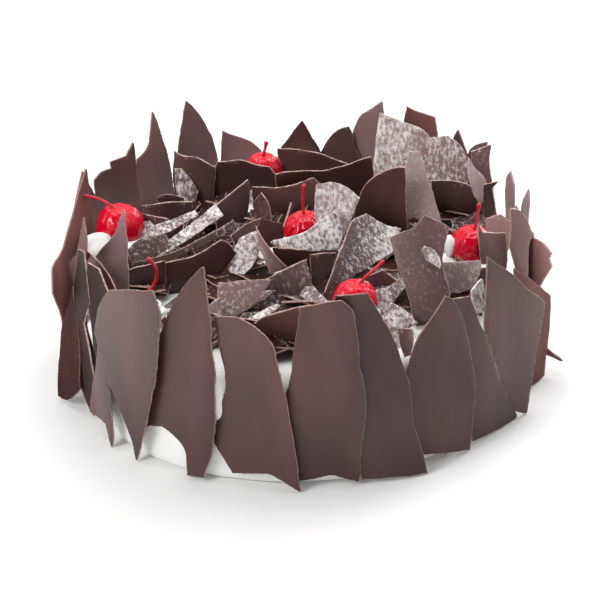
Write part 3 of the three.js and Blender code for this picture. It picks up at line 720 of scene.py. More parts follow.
def plate_faces(faces, rim, edge_points, count):
    """A plate's faces: its front and its back, of that many points each, and then the rim between
    them, which has two rows of edge points of its own."""
    row = {point: i for i, point in enumerate(edge_points)}
    first, second = 2 * count, 2 * count + len(edge_points)
    made = [list(f) for f in faces] + [[i + count for i in reversed(f)] for f in faces]
    for a, b in rim:
        i, j = row[a], row[b]
        made.append([a, first + i, first + j, b])
        made.append([first + i, second + i, second + j, first + j])
        made.append([second + i, count + a, count + b, second + j])
    return made


def dust_on(flat, left, right, foot=0.0):
    """How heavily each point of a face is dusted, from 0 to 1."""
    share, risen = ((flat - flat.min(0)) / np.maximum(np.ptp(flat, axis=0), TINY)).T
    dust = left + (right - left) * share ** DRIFT_POWER
    return np.clip(dust + foot * (1 - risen) * share, 0, 1)


def shard_part(name, plate, thickness, finish_and_shading, shards, coarse=1.0):
    """One plate as (vertices, faces, attributes). The plate is its place, as (origin, across, up,
    face), its outline, and bow(across, up), which is how far its middle lies forward of its flat
    frame, in millimetres. Its shade, which also holds painted light and shade, comes paired with
    its dusting."""
    rng = seeded(name)
    (origin, across, up, face), outline, bow = plate
    (lightness, bloom), dusting = finish_and_shading
    loop = snapped_outline(outline, coarse * shards.edge_sample / MM, rng)
    flat, faces = triangulated(loop, coarse * shards.face_sample / MM)
    rim = rim_of(faces)
    edge_points, normals = rim_points(flat, rim)

    # Soft waves along two directions of each plate.
    headings, lengths = rng.uniform(0, math.pi, 2), rng.uniform(*RIPPLE_LENGTHS, 2)
    starts = rng.uniform(0, math.tau, 2)
    ripple = shards.ripple / MM

    def placed(points, forward):
        waves = sum(ripple / 2 * np.sin(
            (points[:, 0] * math.cos(h) + points[:, 1] * math.sin(h)) * math.tau / w + s)
            for h, w, s in zip(headings, lengths, starts))
        depth = bow(points[:, 0], points[:, 1]) + waves + forward
        return origin + points[:, :1] * across + points[:, 1:] * up + depth[:, None] * face

    def rim_row(forward):
        rough = RIM_WIDTH + rng.normal(0, RIM_ROUGHNESS, len(edge_points))
        return placed(flat[edge_points] + normals * rough[:, None], forward)

    half = thickness / MM / 2
    vertices = np.vstack([
        placed(flat, half), placed(flat, -half),
        rim_row(2 * half * RIM_SHARE), rim_row(-2 * half * RIM_SHARE)])
    dust = dust_on(flat, *dusting)
    # The tone and bloom carry painted light and shade as well as the shard's own tone and bloom.
    attributes = {
        "edge": np.concatenate([np.zeros(2 * len(flat)), np.ones(2 * len(edge_points))]),
        "dusting": np.concatenate([dust, dust, dust[edge_points], dust[edge_points]]),
        "tone": np.full(len(vertices), lightness * rng.uniform(*TONES)),
        "bloom": np.full(len(vertices), bloom)}
    return vertices * MM, plate_faces(faces, rim, edge_points, len(flat)), attributes


def merged_mesh(node):
    """A CAD node's points, in millimetres, each once, and its triangles."""
    mesh = frame["nodes"][node].data
    mesh.calc_loop_triangles()
    points = np.array([v.co for v in mesh.vertices]) / MM
    unique, index = np.unique(np.round(points, 3), axis=0, return_inverse=True)
    index = index.reshape(-1)
    triangles = [[int(index[i]) for i in t.vertices] for t in mesh.loop_triangles]
    return unique, [t for t in triangles if len(set(t)) == 3]


def longest_loop(pairs):
    """The longest chain among directed edges that form closed loops."""
    after, best = {}, []
    for a, b in pairs:
        after.setdefault(a, []).append(b)
    while after:
        start = here = next(iter(after))
        chain = []
        while here in after:
            chain.append(here)
            following = after[here].pop()
            if not after[here]:
                del after[here]
            here = following
            if here == start:
                break
        best = max(best, chain, key=len)
    return best


def without_straight_points(loop):
    """A loop without the points that lie on the line between their neighbours."""
    loop, changed = list(map(np.array, loop)), True
    while changed and len(loop) > 4:
        changed = False
        for i, here in enumerate(loop):
            before, after = loop[i - 1], loop[(i + 1) % len(loop)]
            line = after - before
            length = max(np.hypot(*line), TINY)
            off = abs(line[0] * (here - before)[1] - line[1] * (here - before)[0]) / length
            if off < LEAST_BEND or np.hypot(*(here - before)) < LEAST_STEP:
                loop.pop(i)
                changed = True
                break
    return loop


def plate_of(node, thickness, outwards=None):
    """The place, outline and bow of the shard that a CAD node holds. Its face looks outwards, or
    away from the cake's axis if no direction is given."""
    points, triangles = merged_mesh(node)
    origin = points.mean(0)
    face = np.linalg.svd(points - origin, full_matrices=False)[2][2]
    towards = outwards if outwards is not None else np.array([origin[0], origin[1], 0])
    face = face if face @ towards > 0 else -face
    up = np.array([0, 0, 1]) - face[2] * face
    up /= np.linalg.norm(up)
    across = np.cross(up, face)
    local = (points - origin) @ np.column_stack([across, up, face])
    front = []
    for t in triangles:
        a, b, c = local[t]
        normal = np.cross(b - a, c - a)
        if normal[2] > FRONT_FACING * np.linalg.norm(normal):
            front.append(t)
    loop = longest_loop(rim_of(front))
    outline = without_straight_points(local[loop][:, :2])
    used = sorted({i for t in front for i in t})
    u, v, w = local[used].T
    terms = np.linalg.lstsq(
        np.column_stack([np.ones_like(u), u, v, u * u, u * v, v * v]), w, rcond=1e-4)[0]

    def bow(x, y):
        shape = (np.ones_like(x), x, y, x * x, x * y, y * y)
        return sum(term * part for term, part in zip(terms, shape)) - thickness / MM / 2

    return (origin, across, up, face), outline, bow


def shard_place(at, turn, lean):
    """The place of a plate that stands at a point, turned about Z and leaned back."""
    rotation = (Matrix.Rotation(math.radians(turn), 3, "Z")
                @ Matrix.Rotation(math.radians(90 - lean), 3, "X"))
    across, up, face = np.array(rotation).T
    return np.array(at, float), across, up, face


def curled(curl):
    """The bow of a plate whose sides bend back round that radius."""
    return lambda x, y: -x * x / (2 * curl) if curl else np.zeros_like(x)


def finish_shards(piece, nodes=()):
    """Smooth faces with crisp rims."""
    piece.data.shade_smooth()
    piece.data.set_sharp_from_angle(angle=CRISP_EDGE)
    keep(piece, nodes)


# Painted shade: a wall shard is darkened and its bloom lessened towards its foot, and a heaped
# shard is darkened towards its foot.
WALL_FOOT_SHADE = 0.75
WALL_FOOT_SHADED_BLOOM = 0.2
WALL_REACH = 80 * MM
WALL_EDGE = 0.5
HEAP_FOOT_SHADE = 0.45
HEAP_REACH = 30 * MM
TOWARDS_FRONT_AND_UP = np.array([0, -1, 0.5])


def paint_foot_shade(part, foot, reach, foot_shade):
    """Paints shade on a part, darker towards its foot, and gives how far up each point lies, from 0
    to 1.
    """
    risen = np.clip((part[0][:, 2] - foot) / reach, 0, 1)
    part[2]["tone"] *= foot_shade + (1 - foot_shade) * risen
    return risen


class CAKE_OT_wall_shards(bpy.types.Operator):
    """Snap the tall chocolate plates that stand round the side"""

    bl_idname = "cake.wall_shards"
    bl_label = "Wall Shards"

    def execute(self, context):
        shards = context.scene.cake_shards
        thickness = shards.wall_thickness
        for node in WALL_NODES:
            number = int(node[-2:])
            finish_and_shading = WALL_SHADES.get(number, PLAIN), WALL_DUSTING.get(number, BARE)
            part = shard_part(node, plate_of(node, thickness), thickness, finish_and_shading, shards)
            # Painted shade: darker and less bloomed towards the foot.
            risen = paint_foot_shade(part, 0.0, WALL_REACH, WALL_FOOT_SHADE)
            part[2]["bloom"] *= WALL_FOOT_SHADED_BLOOM + (1 - WALL_FOOT_SHADED_BLOOM) * risen
            part[2]["edge"] *= WALL_EDGE
            chocolate = chocolate_for(context.scene, number in DULL_SIDE_OUT)
            finish_shards(new_piece(f"chocolate_{node}", chocolate, *part), [node])
        return {"FINISHED"}


class CAKE_OT_heap_shards(bpy.types.Operator):
    """Snap the chocolate plates that are heaped on top"""

    bl_idname = "cake.heap_shards"
    bl_label = "Heaped Shards"

    def execute(self, context):
        shards = context.scene.cake_shards
        thickness = shards.heap_thickness
        chocolate = chocolate_for(context.scene)
        for node in HEAP_NODES:
            plate = plate_of(node, thickness, TOWARDS_FRONT_AND_UP)
            finish_and_shading = HEAP_SHADING_AND_DUSTING.get(node.removeprefix("heap_"), (PLAIN, LIGHT_DUSTING))
            part = shard_part(node, plate, thickness, finish_and_shading, shards)
            # Painted shade: darker towards the foot.
            paint_foot_shade(part, CREAM_HEIGHT * MM, HEAP_REACH, HEAP_FOOT_SHADE)
            finish_shards(new_piece(f"chocolate_{node}", chocolate, *part), [node])
        return {"FINISHED"}


def rosette_middles():
    """The (x, y) of every rosette, which is its cherry's."""
    return [cherry_ball(node)[0][:2] for node in CHERRY_NODES]


def bed_parts(shards):
    """Low broken pieces lying over one another on the cream, clear of the rosettes."""
    rng = np.random.default_rng(BED_SEED)
    middles = rosette_middles()
    parts = []
    while len(parts) < BED_COUNT:
        reach, azimuth = BED_RADIUS * math.sqrt(rng.uniform()), rng.uniform(0, math.tau)
        x, y = reach * math.cos(azimuth), reach * math.sin(azimuth)
        if any(math.hypot(x - mx, y - my) < ROSETTE_CLEARANCE for mx, my in middles):
            continue
        z = rng.uniform(*BED_HEIGHTS)
        place = shard_place((x, y, z), rng.uniform(0, 360), 90 - rng.uniform(*BED_TILTS))
        count = rng.integers(*BED_PIECE_CORNERS)
        sector = math.tau / count
        angles = np.sort(rng.uniform(0, sector * BED_CORNER_SPREAD, count)
                         + np.arange(count) * sector)
        radii = rng.uniform(*BED_PIECE_RADII, count)
        outline = [(r * math.cos(a), r * math.sin(a)) for r, a in zip(radii, angles)]
        dusting = rng.choice(BED_DUSTINGS)
        plate = place, outline, curled(rng.uniform(*BED_CURLS))
        parts.append(shard_part(f"bed_{len(parts)}", plate, shards.heap_thickness,
                                (BED_SHADE, (dusting, dusting)), shards, BED_COARSENESS))
    return parts


class CAKE_OT_small_shards(bpy.types.Operator):
    """Tuck small broken pieces between the big plates and under them"""

    bl_idname = "cake.small_shards"
    bl_label = "Small Shards"

    def execute(self, context):
        shards = context.scene.cake_shards
        chocolate, dull = chocolate_for(context.scene), chocolate_for(context.scene, True)
        tucked = {False: [], True: []}
        for i, (at, turn, lean, curl, dusting, shade, outline, *dulled) in enumerate(SMALL_SHARDS):
            plate = shard_place(at, turn, lean), outline, curled(curl)
            tucked[bool(dulled)].append(shard_part(
                f"small_{i}", plate, shards.heap_thickness, (shade, dusting), shards))
        finish_shards(new_piece("tucked_in_shards", chocolate, *joined(tucked[False])))
        finish_shards(new_piece("side_splinters", dull, *joined(tucked[True])))
        finish_shards(new_piece("bed_of_shards", dull, *joined(bed_parts(shards))))
        return {"FINISHED"}


# ---- Cream ------------------------------------------------------------------


def ring_quads(rings, sides):
    """Faces that join rings of points, each to the next."""
    return [[i * sides + j, i * sides + k, (i + 1) * sides + k, (i + 1) * sides + j]
            for i in range(rings - 1) for j in range(sides) for k in [(j + 1) % sides]]


def turned_grid(profile, segments):
    """A profile of (radius, height) turned about Z: vertices, and quads with closed poles."""
    angles = np.arange(segments) * math.tau / segments
    inner = profile[1:-1]
    vertices = [(r * math.cos(a), r * math.sin(a), z) for r, z in inner for a in angles]
    faces = ring_quads(len(inner), segments)
    bottom, top = len(vertices), len(vertices) + 1
    vertices += [(0, 0, profile[0][1]), (0, 0, profile[-1][1])]
    last = (len(inner) - 1) * segments
    for j in range(segments):
        k = (j + 1) % segments
        faces.append([bottom, k, j])
        faces.append([top, last + j, last + k])
    return np.array(vertices, float), faces


def waves_over(angle, height, rng, count, turns, rises):
    """Smooth random waves over the side of a round body, from -1 to 1."""
    total = np.zeros_like(angle)
    for _ in range(count):
        around, rise = rng.integers(*turns), rng.uniform(*rises)
        start = rng.uniform(0, math.tau)
        total += np.sin(around * angle + rise * height + start)
    return total / math.sqrt(count) / 1.6


COAT_SEGMENTS = 420
# The coat swells out less at its foot: this share of the whole, and up to this height.
FOOT_SHARE = 0.35
FOOT_REACH = 4.0
# The cream is spread thicker round the front.
FRONT_FULLNESS = 1.2
FRONT_FULLNESS_AT = math.radians(-105)
FRONT_FULLNESS_REACH = math.radians(28)
# Where it is squeezed out between two shards: the azimuth and half the width in degrees, the
# height and half the reach up, and how far it comes out, in millimetres.
SQUEEZES = (
    (-110.9, 1.6, 50, 13, 3.8),
    (-94.5, 1.8, 56, 10, 1.0),
)
# Dabs of cream beside the rosettes: where each is, and how far it reaches along X, Y and Z.
CREAM_DABS = (
    ((-109, 11, 71.5), (10, 8, 8)),
    ((-98, 9, 68), (9, 7, 7)),
    ((78, -25, 79), (3, 4, 6)),
    ((84, -40, 71), (5, 4, 3)),
    ((95, -40, 70), (7, 5, 4)),
)


def dab_part(middle, reach, rng):
    """A soft lump of cream as (vertices, faces, attributes), in millimetres."""
    steps, segments = 20, 32
    profile = [(math.sin(math.pi * i / steps), -math.cos(math.pi * i / steps))
               for i in range(steps + 1)]
    vertices, faces = turned_grid(profile, segments)
    waves = sum(np.sin(vertices @ rng.normal(0, 2.2, 3) + rng.uniform(0, math.tau))
                for _ in range(4))
    return vertices * (1 + 0.05 * waves)[:, None] * reach + middle, faces, {}


def cream_profile():
    """The (radius, height) of the coat, from the middle of its foot to the middle of its top."""
    side_steps, corner_steps, top_steps = 24, 8, 26
    flat = CREAM_RADIUS - CREAM_ROUNDING
    profile = [(0, 0), (CREAM_RADIUS * 0.6, 0), (CREAM_RADIUS - 1.5, 0), (CREAM_RADIUS, 1.2)]
    profile += [(CREAM_RADIUS, z)
                for z in np.linspace(2.5, CREAM_HEIGHT - CREAM_ROUNDING, side_steps)]
    for step in range(1, corner_steps + 1):
        angle = step / corner_steps * math.pi / 2
        profile.append((flat + CREAM_ROUNDING * math.cos(angle),
                        CREAM_HEIGHT - CREAM_ROUNDING * (1 - math.sin(angle))))
    profile += [(r, CREAM_HEIGHT) for r in np.linspace(flat, 3, top_steps)[1:]]
    return profile + [(0, CREAM_HEIGHT)]


def spread_with_knife(vertices, cream, rng):
    """Swells the coat out at its side, squeezes it out between shards, and marks it all over with
    the sweeps of a palette knife."""
    x, y, z = vertices.T
    radius, angle = np.hypot(x, y), np.arctan2(y, x)
    depth = cream.spatula_depth / MM
    outer = np.clip((radius - CREAM_RADIUS + CREAM_ROUNDING) / CREAM_ROUNDING, 0, 1)
    low = np.clip(z / FOOT_REACH, 0, 1)
    full = 1 + FRONT_FULLNESS * np.exp(-((angle - FRONT_FULLNESS_AT) / FRONT_FULLNESS_REACH) ** 2)
    swell = cream.bulge / MM * full * (
        0.6 + 0.4 * waves_over(angle, z, rng, 5, (3, 14), (-0.03, 0.03)))
    sweeps = depth * waves_over(angle, z, rng, 7, (6, 40), (-0.25, 0.25))
    for azimuth, width, height, reach, amount in SQUEEZES:
        swell += amount * np.exp(-((angle - math.radians(azimuth)) / math.radians(width)) ** 2
                                 - ((z - height) / reach) ** 4)
    grown = radius + outer * (swell + sweeps) * (FOOT_SHARE + (1 - FOOT_SHARE) * low)
    vertices[:, :2] *= (grown / np.maximum(radius, TINY))[:, None]
    on_top = np.clip((z - CREAM_HEIGHT + CREAM_ROUNDING) / CREAM_ROUNDING, 0, 1)
    vertices[:, 2] += on_top * depth * waves_over(angle, radius, rng, 6, (2, 9), (-0.12, 0.12))


class CAKE_OT_cream(bpy.types.Operator):
    """Spread the cream over the cake with a palette knife"""

    bl_idname = "cake.cream"
    bl_label = "Cream Coat"

    def execute(self, context):
        rng = seeded("cream coat")
        vertices, faces = turned_grid(cream_profile(), COAT_SEGMENTS)
        spread_with_knife(vertices, context.scene.cake_cream, rng)
        dabs = [dab_part(middle, reach, rng) for middle, reach in CREAM_DABS]
        vertices, faces, _ = joined([(vertices, faces, {}), *dabs])
        piece = new_piece("cream_coat", cream_for(context.scene), vertices * MM, faces)
        piece.data.shade_smooth()
        keep(piece, ["cream_covered_cake"])
        return {"FINISHED"}


# How far above the cream's top a rope's middle lies, as a share of the rope's radius.
ROPE_SEAT = 0.72
# The rope's width beside its full width, at shares of its length.
ROPE_TAPER = ((0.0, 0.25), (0.06, 0.85), (0.16, 1.0), (0.75, 0.95), (1.0, 0.55))


def rosette_tree():
    """A rope from a star nozzle, coiled inwards and upwards on each point."""
    tree, given = new_tree("piped_rosette", {
        "Coil Radius": "Float", "Rope Radius": "Float", "Groove Radius": "Float",
        "Coil Rise": "Float", "Ridges": "Int"})
    coil = add(tree, "GeometryNodeCurveSpiral", {
        "Resolution": 60, "Rotations": 1.7, "Start Radius": given["Coil Radius"],
        "End Radius": 1.5 * MM, "Height": given["Coil Rise"]})
    along = add(tree, "GeometryNodeSplineParameter")
    taper = add(tree, "ShaderNodeFloatCurve", {"Value": along})
    points = taper.mapping.curves[0].points
    points[0].location, points[1].location = ROPE_TAPER[0], ROPE_TAPER[-1]
    for place in ROPE_TAPER[1:-1]:
        points.new(*place)
    taper.mapping.update()
    tapered = add(tree, "GeometryNodeSetCurveRadius", {"Curve": coil, "Radius": taper})
    twist = add(tree, "ShaderNodeMath", {0: along, 1: 3.6}, operation="MULTIPLY")
    twisted = add(tree, "GeometryNodeSetCurveTilt", {"Curve": tapered, "Tilt": twist})
    nozzle = add(tree, "GeometryNodeCurveStar", {
        "Points": given["Ridges"], "Inner Radius": given["Groove Radius"],
        "Outer Radius": given["Rope Radius"]})
    rounded = add(tree, "GeometryNodeFilletCurve", {
        "Curve": nozzle, "Radius": 0.9 * MM, "Count": 3}, mode="POLY")
    rope = add(tree, "GeometryNodeCurveToMesh", {
        "Curve": twisted, "Profile Curve": rounded, "Fill Caps": True})
    turn = add(tree, "FunctionNodeRandomValue", {
        0: (0, 0, 0), 1: (0, 0, math.tau), "Seed": 5}, data_type="FLOAT_VECTOR")
    placed = add(tree, "GeometryNodeInstanceOnPoints", {
        "Points": given["Geometry"], "Instance": rope, "Rotation": turn})
    return finish_tree(tree, placed, given["Material"], True)


class CAKE_OT_rosettes(bpy.types.Operator):
    """Pipe a rosette of cream under each cherry"""

    bl_idname = "cake.rosettes"
    bl_label = "Rosettes"

    def execute(self, context):
        cream = context.scene.cake_cream
        material = cream_for(context.scene)
        height = CREAM_HEIGHT * MM + cream.rope_radius * ROPE_SEAT
        points = [(x * MM, y * MM, height) for x, y in rosette_middles()]
        base = new_piece("rosette_points", material, points, [])
        piece = made_by_nodes("piped_rosettes", base, rosette_tree(), {
            "Coil Radius": cream.coil_radius, "Rope Radius": cream.rope_radius,
            "Groove Radius": cream.rope_radius - cream.ridge_depth,
            "Coil Rise": cream.coil_rise, "Ridges": cream.ridges, "Material": material})
        keep(piece)
        return {"FINISHED"}


# ---- Cherries ---------------------------------------------------------------


# This much of a cherry's height, in millimetres, holds its widest part but not its stem.
LOWER_HALF = 12
# The numbers of folds that run down a cherry from its stem.
FOLDS = (9, 14, 19)
# The wavelengths of a cherry's wrinkles, in millimetres, and how deep each is beside the rest.
WRINKLES = ((16.0, 0.9), (6.0, 1.0), (3.2, 0.8))
WRINKLE_HEADINGS = 4
DIMPLE_DEPTH = 0.16


def cherry_ball(node):
    """The middle and the radius of a cherry, in millimetres, from its lower half."""
    points, _ = merged_mesh(node)
    bottom = points[:, 2].min()
    half = points[points[:, 2] < bottom + LOWER_HALF]
    low, high = half.min(0), half.max(0)
    radius = (high[0] - low[0]) / 2
    return np.array([(low[0] + high[0]) / 2, (low[1] + high[1]) / 2, bottom + radius]), radius


def cherry_part(node, wrinkle):
    """A cherry's skin as vertices and faces: a plump ball, dimpled at the stem and wrinkled."""
    middle, radius = cherry_ball(node)
    rng = seeded(node)
    steps, segments = 56, 84
    profile = []
    for step in range(steps + 1):
        angle = -math.pi / 2 + math.pi * step / steps
        dimple = DIMPLE_DEPTH * max(0.0, math.sin(angle)) ** 14
        profile.append((radius * math.cos(angle), radius * math.sin(angle) * (1 - dimple)))
    vertices, faces = turned_grid(profile, segments)
    directions = vertices / np.maximum(np.linalg.norm(vertices, axis=1), TINY)[:, None]
    swell = np.zeros(len(vertices))
    for wavelength, height in WRINKLES:
        for _ in range(WRINKLE_HEADINGS):
            heading = rng.normal(size=3)
            heading /= np.linalg.norm(heading)
            phase = rng.uniform(0, math.tau)
            swell += height / WRINKLE_HEADINGS * np.sin(
                directions @ heading * radius * math.tau / wavelength + phase)
    around = np.arctan2(directions[:, 1], directions[:, 0])
    falling = np.sqrt(np.maximum(0, 1 - directions[:, 2] ** 2))
    for count in FOLDS:
        start, bend = rng.uniform(0, math.tau, 2)
        swell += 0.5 * falling * np.sin(
            count * around + start + 1.5 * np.sin(3 * directions[:, 2] + bend))
    vertices += directions * (swell * wrinkle)[:, None]
    return vertices + middle, faces, middle, radius


def stem_route(points, start, steps):
    """A smooth curve from the dimple through the stem's points, in equal shares."""
    knots = [np.array(p, float) for p in ((0, 0, start - 3), (0, 0, start), *points)]
    knots.append(2 * knots[-1] - knots[-2])
    route = []
    for i in range(1, len(knots) - 2):
        a, b, c, d = knots[i - 1:i + 3]
        for t in np.arange(steps) / steps:
            route.append(0.5 * (2 * b + (c - a) * t + (2 * a - 5 * b + 4 * c - d) * t ** 2
                                + (3 * b - a - 3 * c + d) * t ** 3))
    route.append(knots[-2])
    return np.array(route)


def stem_part(node, middle, radius, thickness):
    """A cherry's stem: a thin tube that thickens into a knob at its free end."""
    route = stem_route(STEMS[node], radius * 0.55, 8)
    sides = 12
    gone = np.concatenate([[0], np.cumsum(np.linalg.norm(np.diff(route, axis=0), axis=1))])
    left = gone[-1] - gone
    girth = thickness * (1 + 0.75 * np.exp(-(left / 2.2) ** 2) + 0.35 * np.exp(-(gone / 2.5) ** 2))
    girth[-1] *= 0.35
    girth[-2] *= 0.9
    side = np.array([1.0, 0, 0])
    vertices = []
    for i, point in enumerate(route):
        along = route[min(i + 1, len(route) - 1)] - route[max(i - 1, 0)]
        along /= np.linalg.norm(along)
        side = side - along * (side @ along)
        side /= np.linalg.norm(side)
        other = np.cross(along, side)
        for k in range(sides):
            angle = math.tau * k / sides
            vertices.append(point + girth[i] * (math.cos(angle) * side + math.sin(angle) * other))
    faces = [list(reversed(range(sides))),
             [(len(route) - 1) * sides + k for k in range(sides)]]
    return np.array(vertices) + middle, faces + ring_quads(len(route), sides)


class CAKE_OT_cherries(bpy.types.Operator):
    """Set a stemmed cherry on each rosette"""

    bl_idname = "cake.cherries"
    bl_label = "Cherries"

    def execute(self, context):
        cherries = context.scene.cake_cherries
        skin = made_material("candied_cherry_skin", candied_cherry_skin, cherries)
        stem = made_material("dyed_stem", dyed_stem, cherries)
        for node in CHERRY_NODES:
            ball, ball_faces, middle, radius = cherry_part(node, cherries.wrinkle_depth / MM)
            rod, rod_faces = stem_part(node, middle, radius, cherries.stem_radius / MM)
            faces = ball_faces + [[i + len(ball) for i in face] for face in rod_faces]
            piece = new_piece(f"candied_{node}", skin, np.vstack([ball, rod]) * MM, faces)
            piece.data.materials.append(stem)
            for polygon in piece.data.polygons[len(ball_faces):]:
                polygon.material_index = 1
            piece.data.shade_smooth()
            keep(piece, [node])
        return {"FINISHED"}


# ---- Crumbs and icing sugar -------------------------------------------------


# The size of the patches, in millimetres, in which the crumbs and the sugar lie.
CRUMB_PATCHES = 22
SUGAR_PATCHES = 9
CRUMB_FINISH = {"tone": 1.0, "edge": 0.35, "dusting": 0.2, "bloom": 0.0}


def scattered_tree(name, everywhere, patch_size):
    """Irregular specks on every upward face: on all of it, or only as far as it is dusted."""
    tree, given = new_tree(name, {"Radius": "Float", "Density": "Float", "Seed": "Int"})
    normal = add(tree, "ShaderNodeSeparateXYZ", {"Vector": add(tree, "GeometryNodeInputNormal")})
    upwards = add(tree, "ShaderNodeMapRange", {
        "Value": normal.outputs["Z"], "From Min": 0.02, "From Max": 0.4})
    patches = add(tree, "ShaderNodeTexNoise", {
        "Vector": add(tree, "GeometryNodeInputPosition"), "Scale": per_metre(patch_size),
        "Detail": 1.0})
    patchy = add(tree, "ShaderNodeMapRange", {
        "Value": patches, "From Min": 0.42, "From Max": 0.62, "To Min": 0.08})
    dusting = add(tree, "GeometryNodeInputNamedAttribute", {"Name": "dusting"}, data_type="FLOAT")
    amount = 1.0 if everywhere else dusting
    lying = add(tree, "ShaderNodeMath", {0: upwards, 1: amount}, operation="MULTIPLY")
    drifted = add(tree, "ShaderNodeMath", {0: lying, 1: patchy}, operation="MULTIPLY")
    density = add(tree, "ShaderNodeMath", {0: drifted, 1: given["Density"]}, operation="MULTIPLY")
    points = add(tree, "GeometryNodeDistributePointsOnFaces", {
        "Mesh": given["Geometry"], "Density": density, "Seed": given["Seed"]})
    speck = add(tree, "GeometryNodeMeshIcoSphere", {"Radius": given["Radius"], "Subdivisions": 1})
    dents = add(tree, "ShaderNodeTexNoise", {
        "Vector": add(tree, "GeometryNodeInputPosition"), "Scale": per_metre(1.0), "Detail": 0.0})
    dented = add(tree, "ShaderNodeVectorMath", {
        0: dents.outputs["Color"], 1: (0.5, 0.5, 0.5)}, operation="SUBTRACT")
    pushed = add(tree, "ShaderNodeVectorMath", {
        0: dented, "Scale": given["Radius"]}, operation="SCALE")
    uneven = add(tree, "GeometryNodeSetPosition", {"Geometry": speck, "Offset": pushed})
    turn = add(tree, "FunctionNodeRandomValue", {
        0: (0, 0, 0), 1: (math.tau,) * 3, "Seed": given["Seed"]}, data_type="FLOAT_VECTOR")
    size = add(tree, "FunctionNodeRandomValue", {
        0: (0.45, 0.45, 0.35), 1: (1.5, 1.3, 0.9), "Seed": 11}, data_type="FLOAT_VECTOR")
    placed = add(tree, "GeometryNodeInstanceOnPoints", {
        "Points": points, "Instance": uneven, "Rotation": turn, "Scale": size})
    return finish_tree(tree, placed, given["Material"], False)


def shard_surface(prefixes):
    """One temporary mesh of all the shards whose names start so, with their dusting."""
    parts = []
    for piece in bpy.context.scene.objects:
        if piece.type == "MESH" and piece.name.startswith(prefixes):
            mesh = piece.data
            dust = np.zeros(len(mesh.vertices), np.float32)
            mesh.attributes["dusting"].data.foreach_get("value", dust)
            co = np.zeros(len(mesh.vertices) * 3, np.float32)
            mesh.vertices.foreach_get("co", co)
            parts.append((co.reshape(-1, 3), [list(p.vertices) for p in mesh.polygons],
                          {"dusting": dust}))
    if not parts:
        raise RuntimeError("the shards come before what is scattered on them")
    return new_piece("scatter_surface", bpy.data.materials[0], *joined(parts))


class CAKE_OT_crumbs(bpy.types.Operator):
    """Scatter broken chocolate crumbs over the bed of shards"""

    bl_idname = "cake.crumbs"
    bl_label = "Chocolate Crumbs"

    def execute(self, context):
        dusting = context.scene.cake_dusting
        base = shard_surface(("bed_of_shards",))
        tree = scattered_tree("chocolate_crumbs", True, CRUMB_PATCHES)
        piece = made_by_nodes("chocolate_crumbs", base, tree, {
            "Radius": dusting.crumb_radius, "Density": dusting.crumb_density,
            "Seed": dusting.seed + 1, "Material": chocolate_for(context.scene)})
        for key, value in CRUMB_FINISH.items():
            layer = piece.data.attributes.new(key, "FLOAT", "POINT")
            layer.data.foreach_set("value", np.full(len(piece.data.vertices), value, np.float32))
        keep(piece)
        return {"FINISHED"}


class CAKE_OT_icing_sugar(bpy.types.Operator):
    """Dust the heap with loose clumps of icing sugar"""

    bl_idname = "cake.icing_sugar"
    bl_label = "Icing Sugar"

    def execute(self, context):
        dusting = context.scene.cake_dusting
        base = shard_surface((
            "bed_of_shards", "tucked_in_shards", "chocolate_heap",
            *(f"chocolate_wall_shard_{number}" for number in WALL_DUSTING)))
        tree = scattered_tree("icing_sugar_clumps", False, SUGAR_PATCHES)
        piece = made_by_nodes("icing_sugar_clumps", base, tree, {
            "Radius": dusting.grain_radius, "Density": dusting.grain_density,
            "Seed": dusting.seed,
            "Material": made_material("icing_sugar", icing_sugar, dusting)})
        keep(piece)
        return {"FINISHED"}


# ---- Stage ------------------------------------------------------------------

CAMERA_TARGET = Vector((-1.25, 0.0, 38.6)) * MM
FLOOR_REACH = 6.0
CAKE_MIDDLE = (0, 0, 0.06)
# Each softbox's place and width, in metres.
SOFTBOXES = {
    "key": ((-1.1, -0.85, 1.15), 0.6),
    "fill": ((1.0, 0.95, 0.75), 0.8),
    "top": ((0.1, 0.25, 1.5), 1.1),
}
DARK_SIDE_HEIGHT = math.radians(50)
DARK_SIDE_START = math.radians(16)
DARK_SIDE_END = math.radians(42)


def softbox(name, place, width, power):
    """A square area light that looks at the cake."""
    light = bpy.data.lights.new(name, "AREA")
    light.size = width
    light.energy = power
    holder = bpy.data.objects.new(name, light)
    holder.location = place
    towards = Vector(CAKE_MIDDLE) - Vector(place)
    holder.rotation_euler = towards.to_track_quat("-Z", "Y").to_euler()
    bpy.context.scene.collection.objects.link(holder)


def soft_surround(stage):
    """A white studio that is unlit behind the camera."""
    world = bpy.data.worlds.new("soft_surround")
    world.use_nodes = True
    tree = world.node_tree
    tree.nodes.clear()
    behind = Vector((0, -math.cos(DARK_SIDE_HEIGHT), math.sin(DARK_SIDE_HEIGHT)))
    nearness = add(tree, "ShaderNodeVectorMath", {
        0: add(tree, "ShaderNodeTexCoord").outputs["Generated"],
        1: behind}, operation="DOT_PRODUCT")
    strength = add(tree, "ShaderNodeMapRange", {
        "Value": nearness, "From Min": math.cos(DARK_SIDE_END),
        "From Max": math.cos(DARK_SIDE_START), "To Min": stage.world_strength,
        "To Max": stage.dark_side}, interpolation_type="SMOOTHSTEP")
    light = add(tree, "ShaderNodeBackground", {"Color": (1, 1, 1, 1), "Strength": strength})
    add(tree, "ShaderNodeOutputWorld", {"Surface": light})
    return world


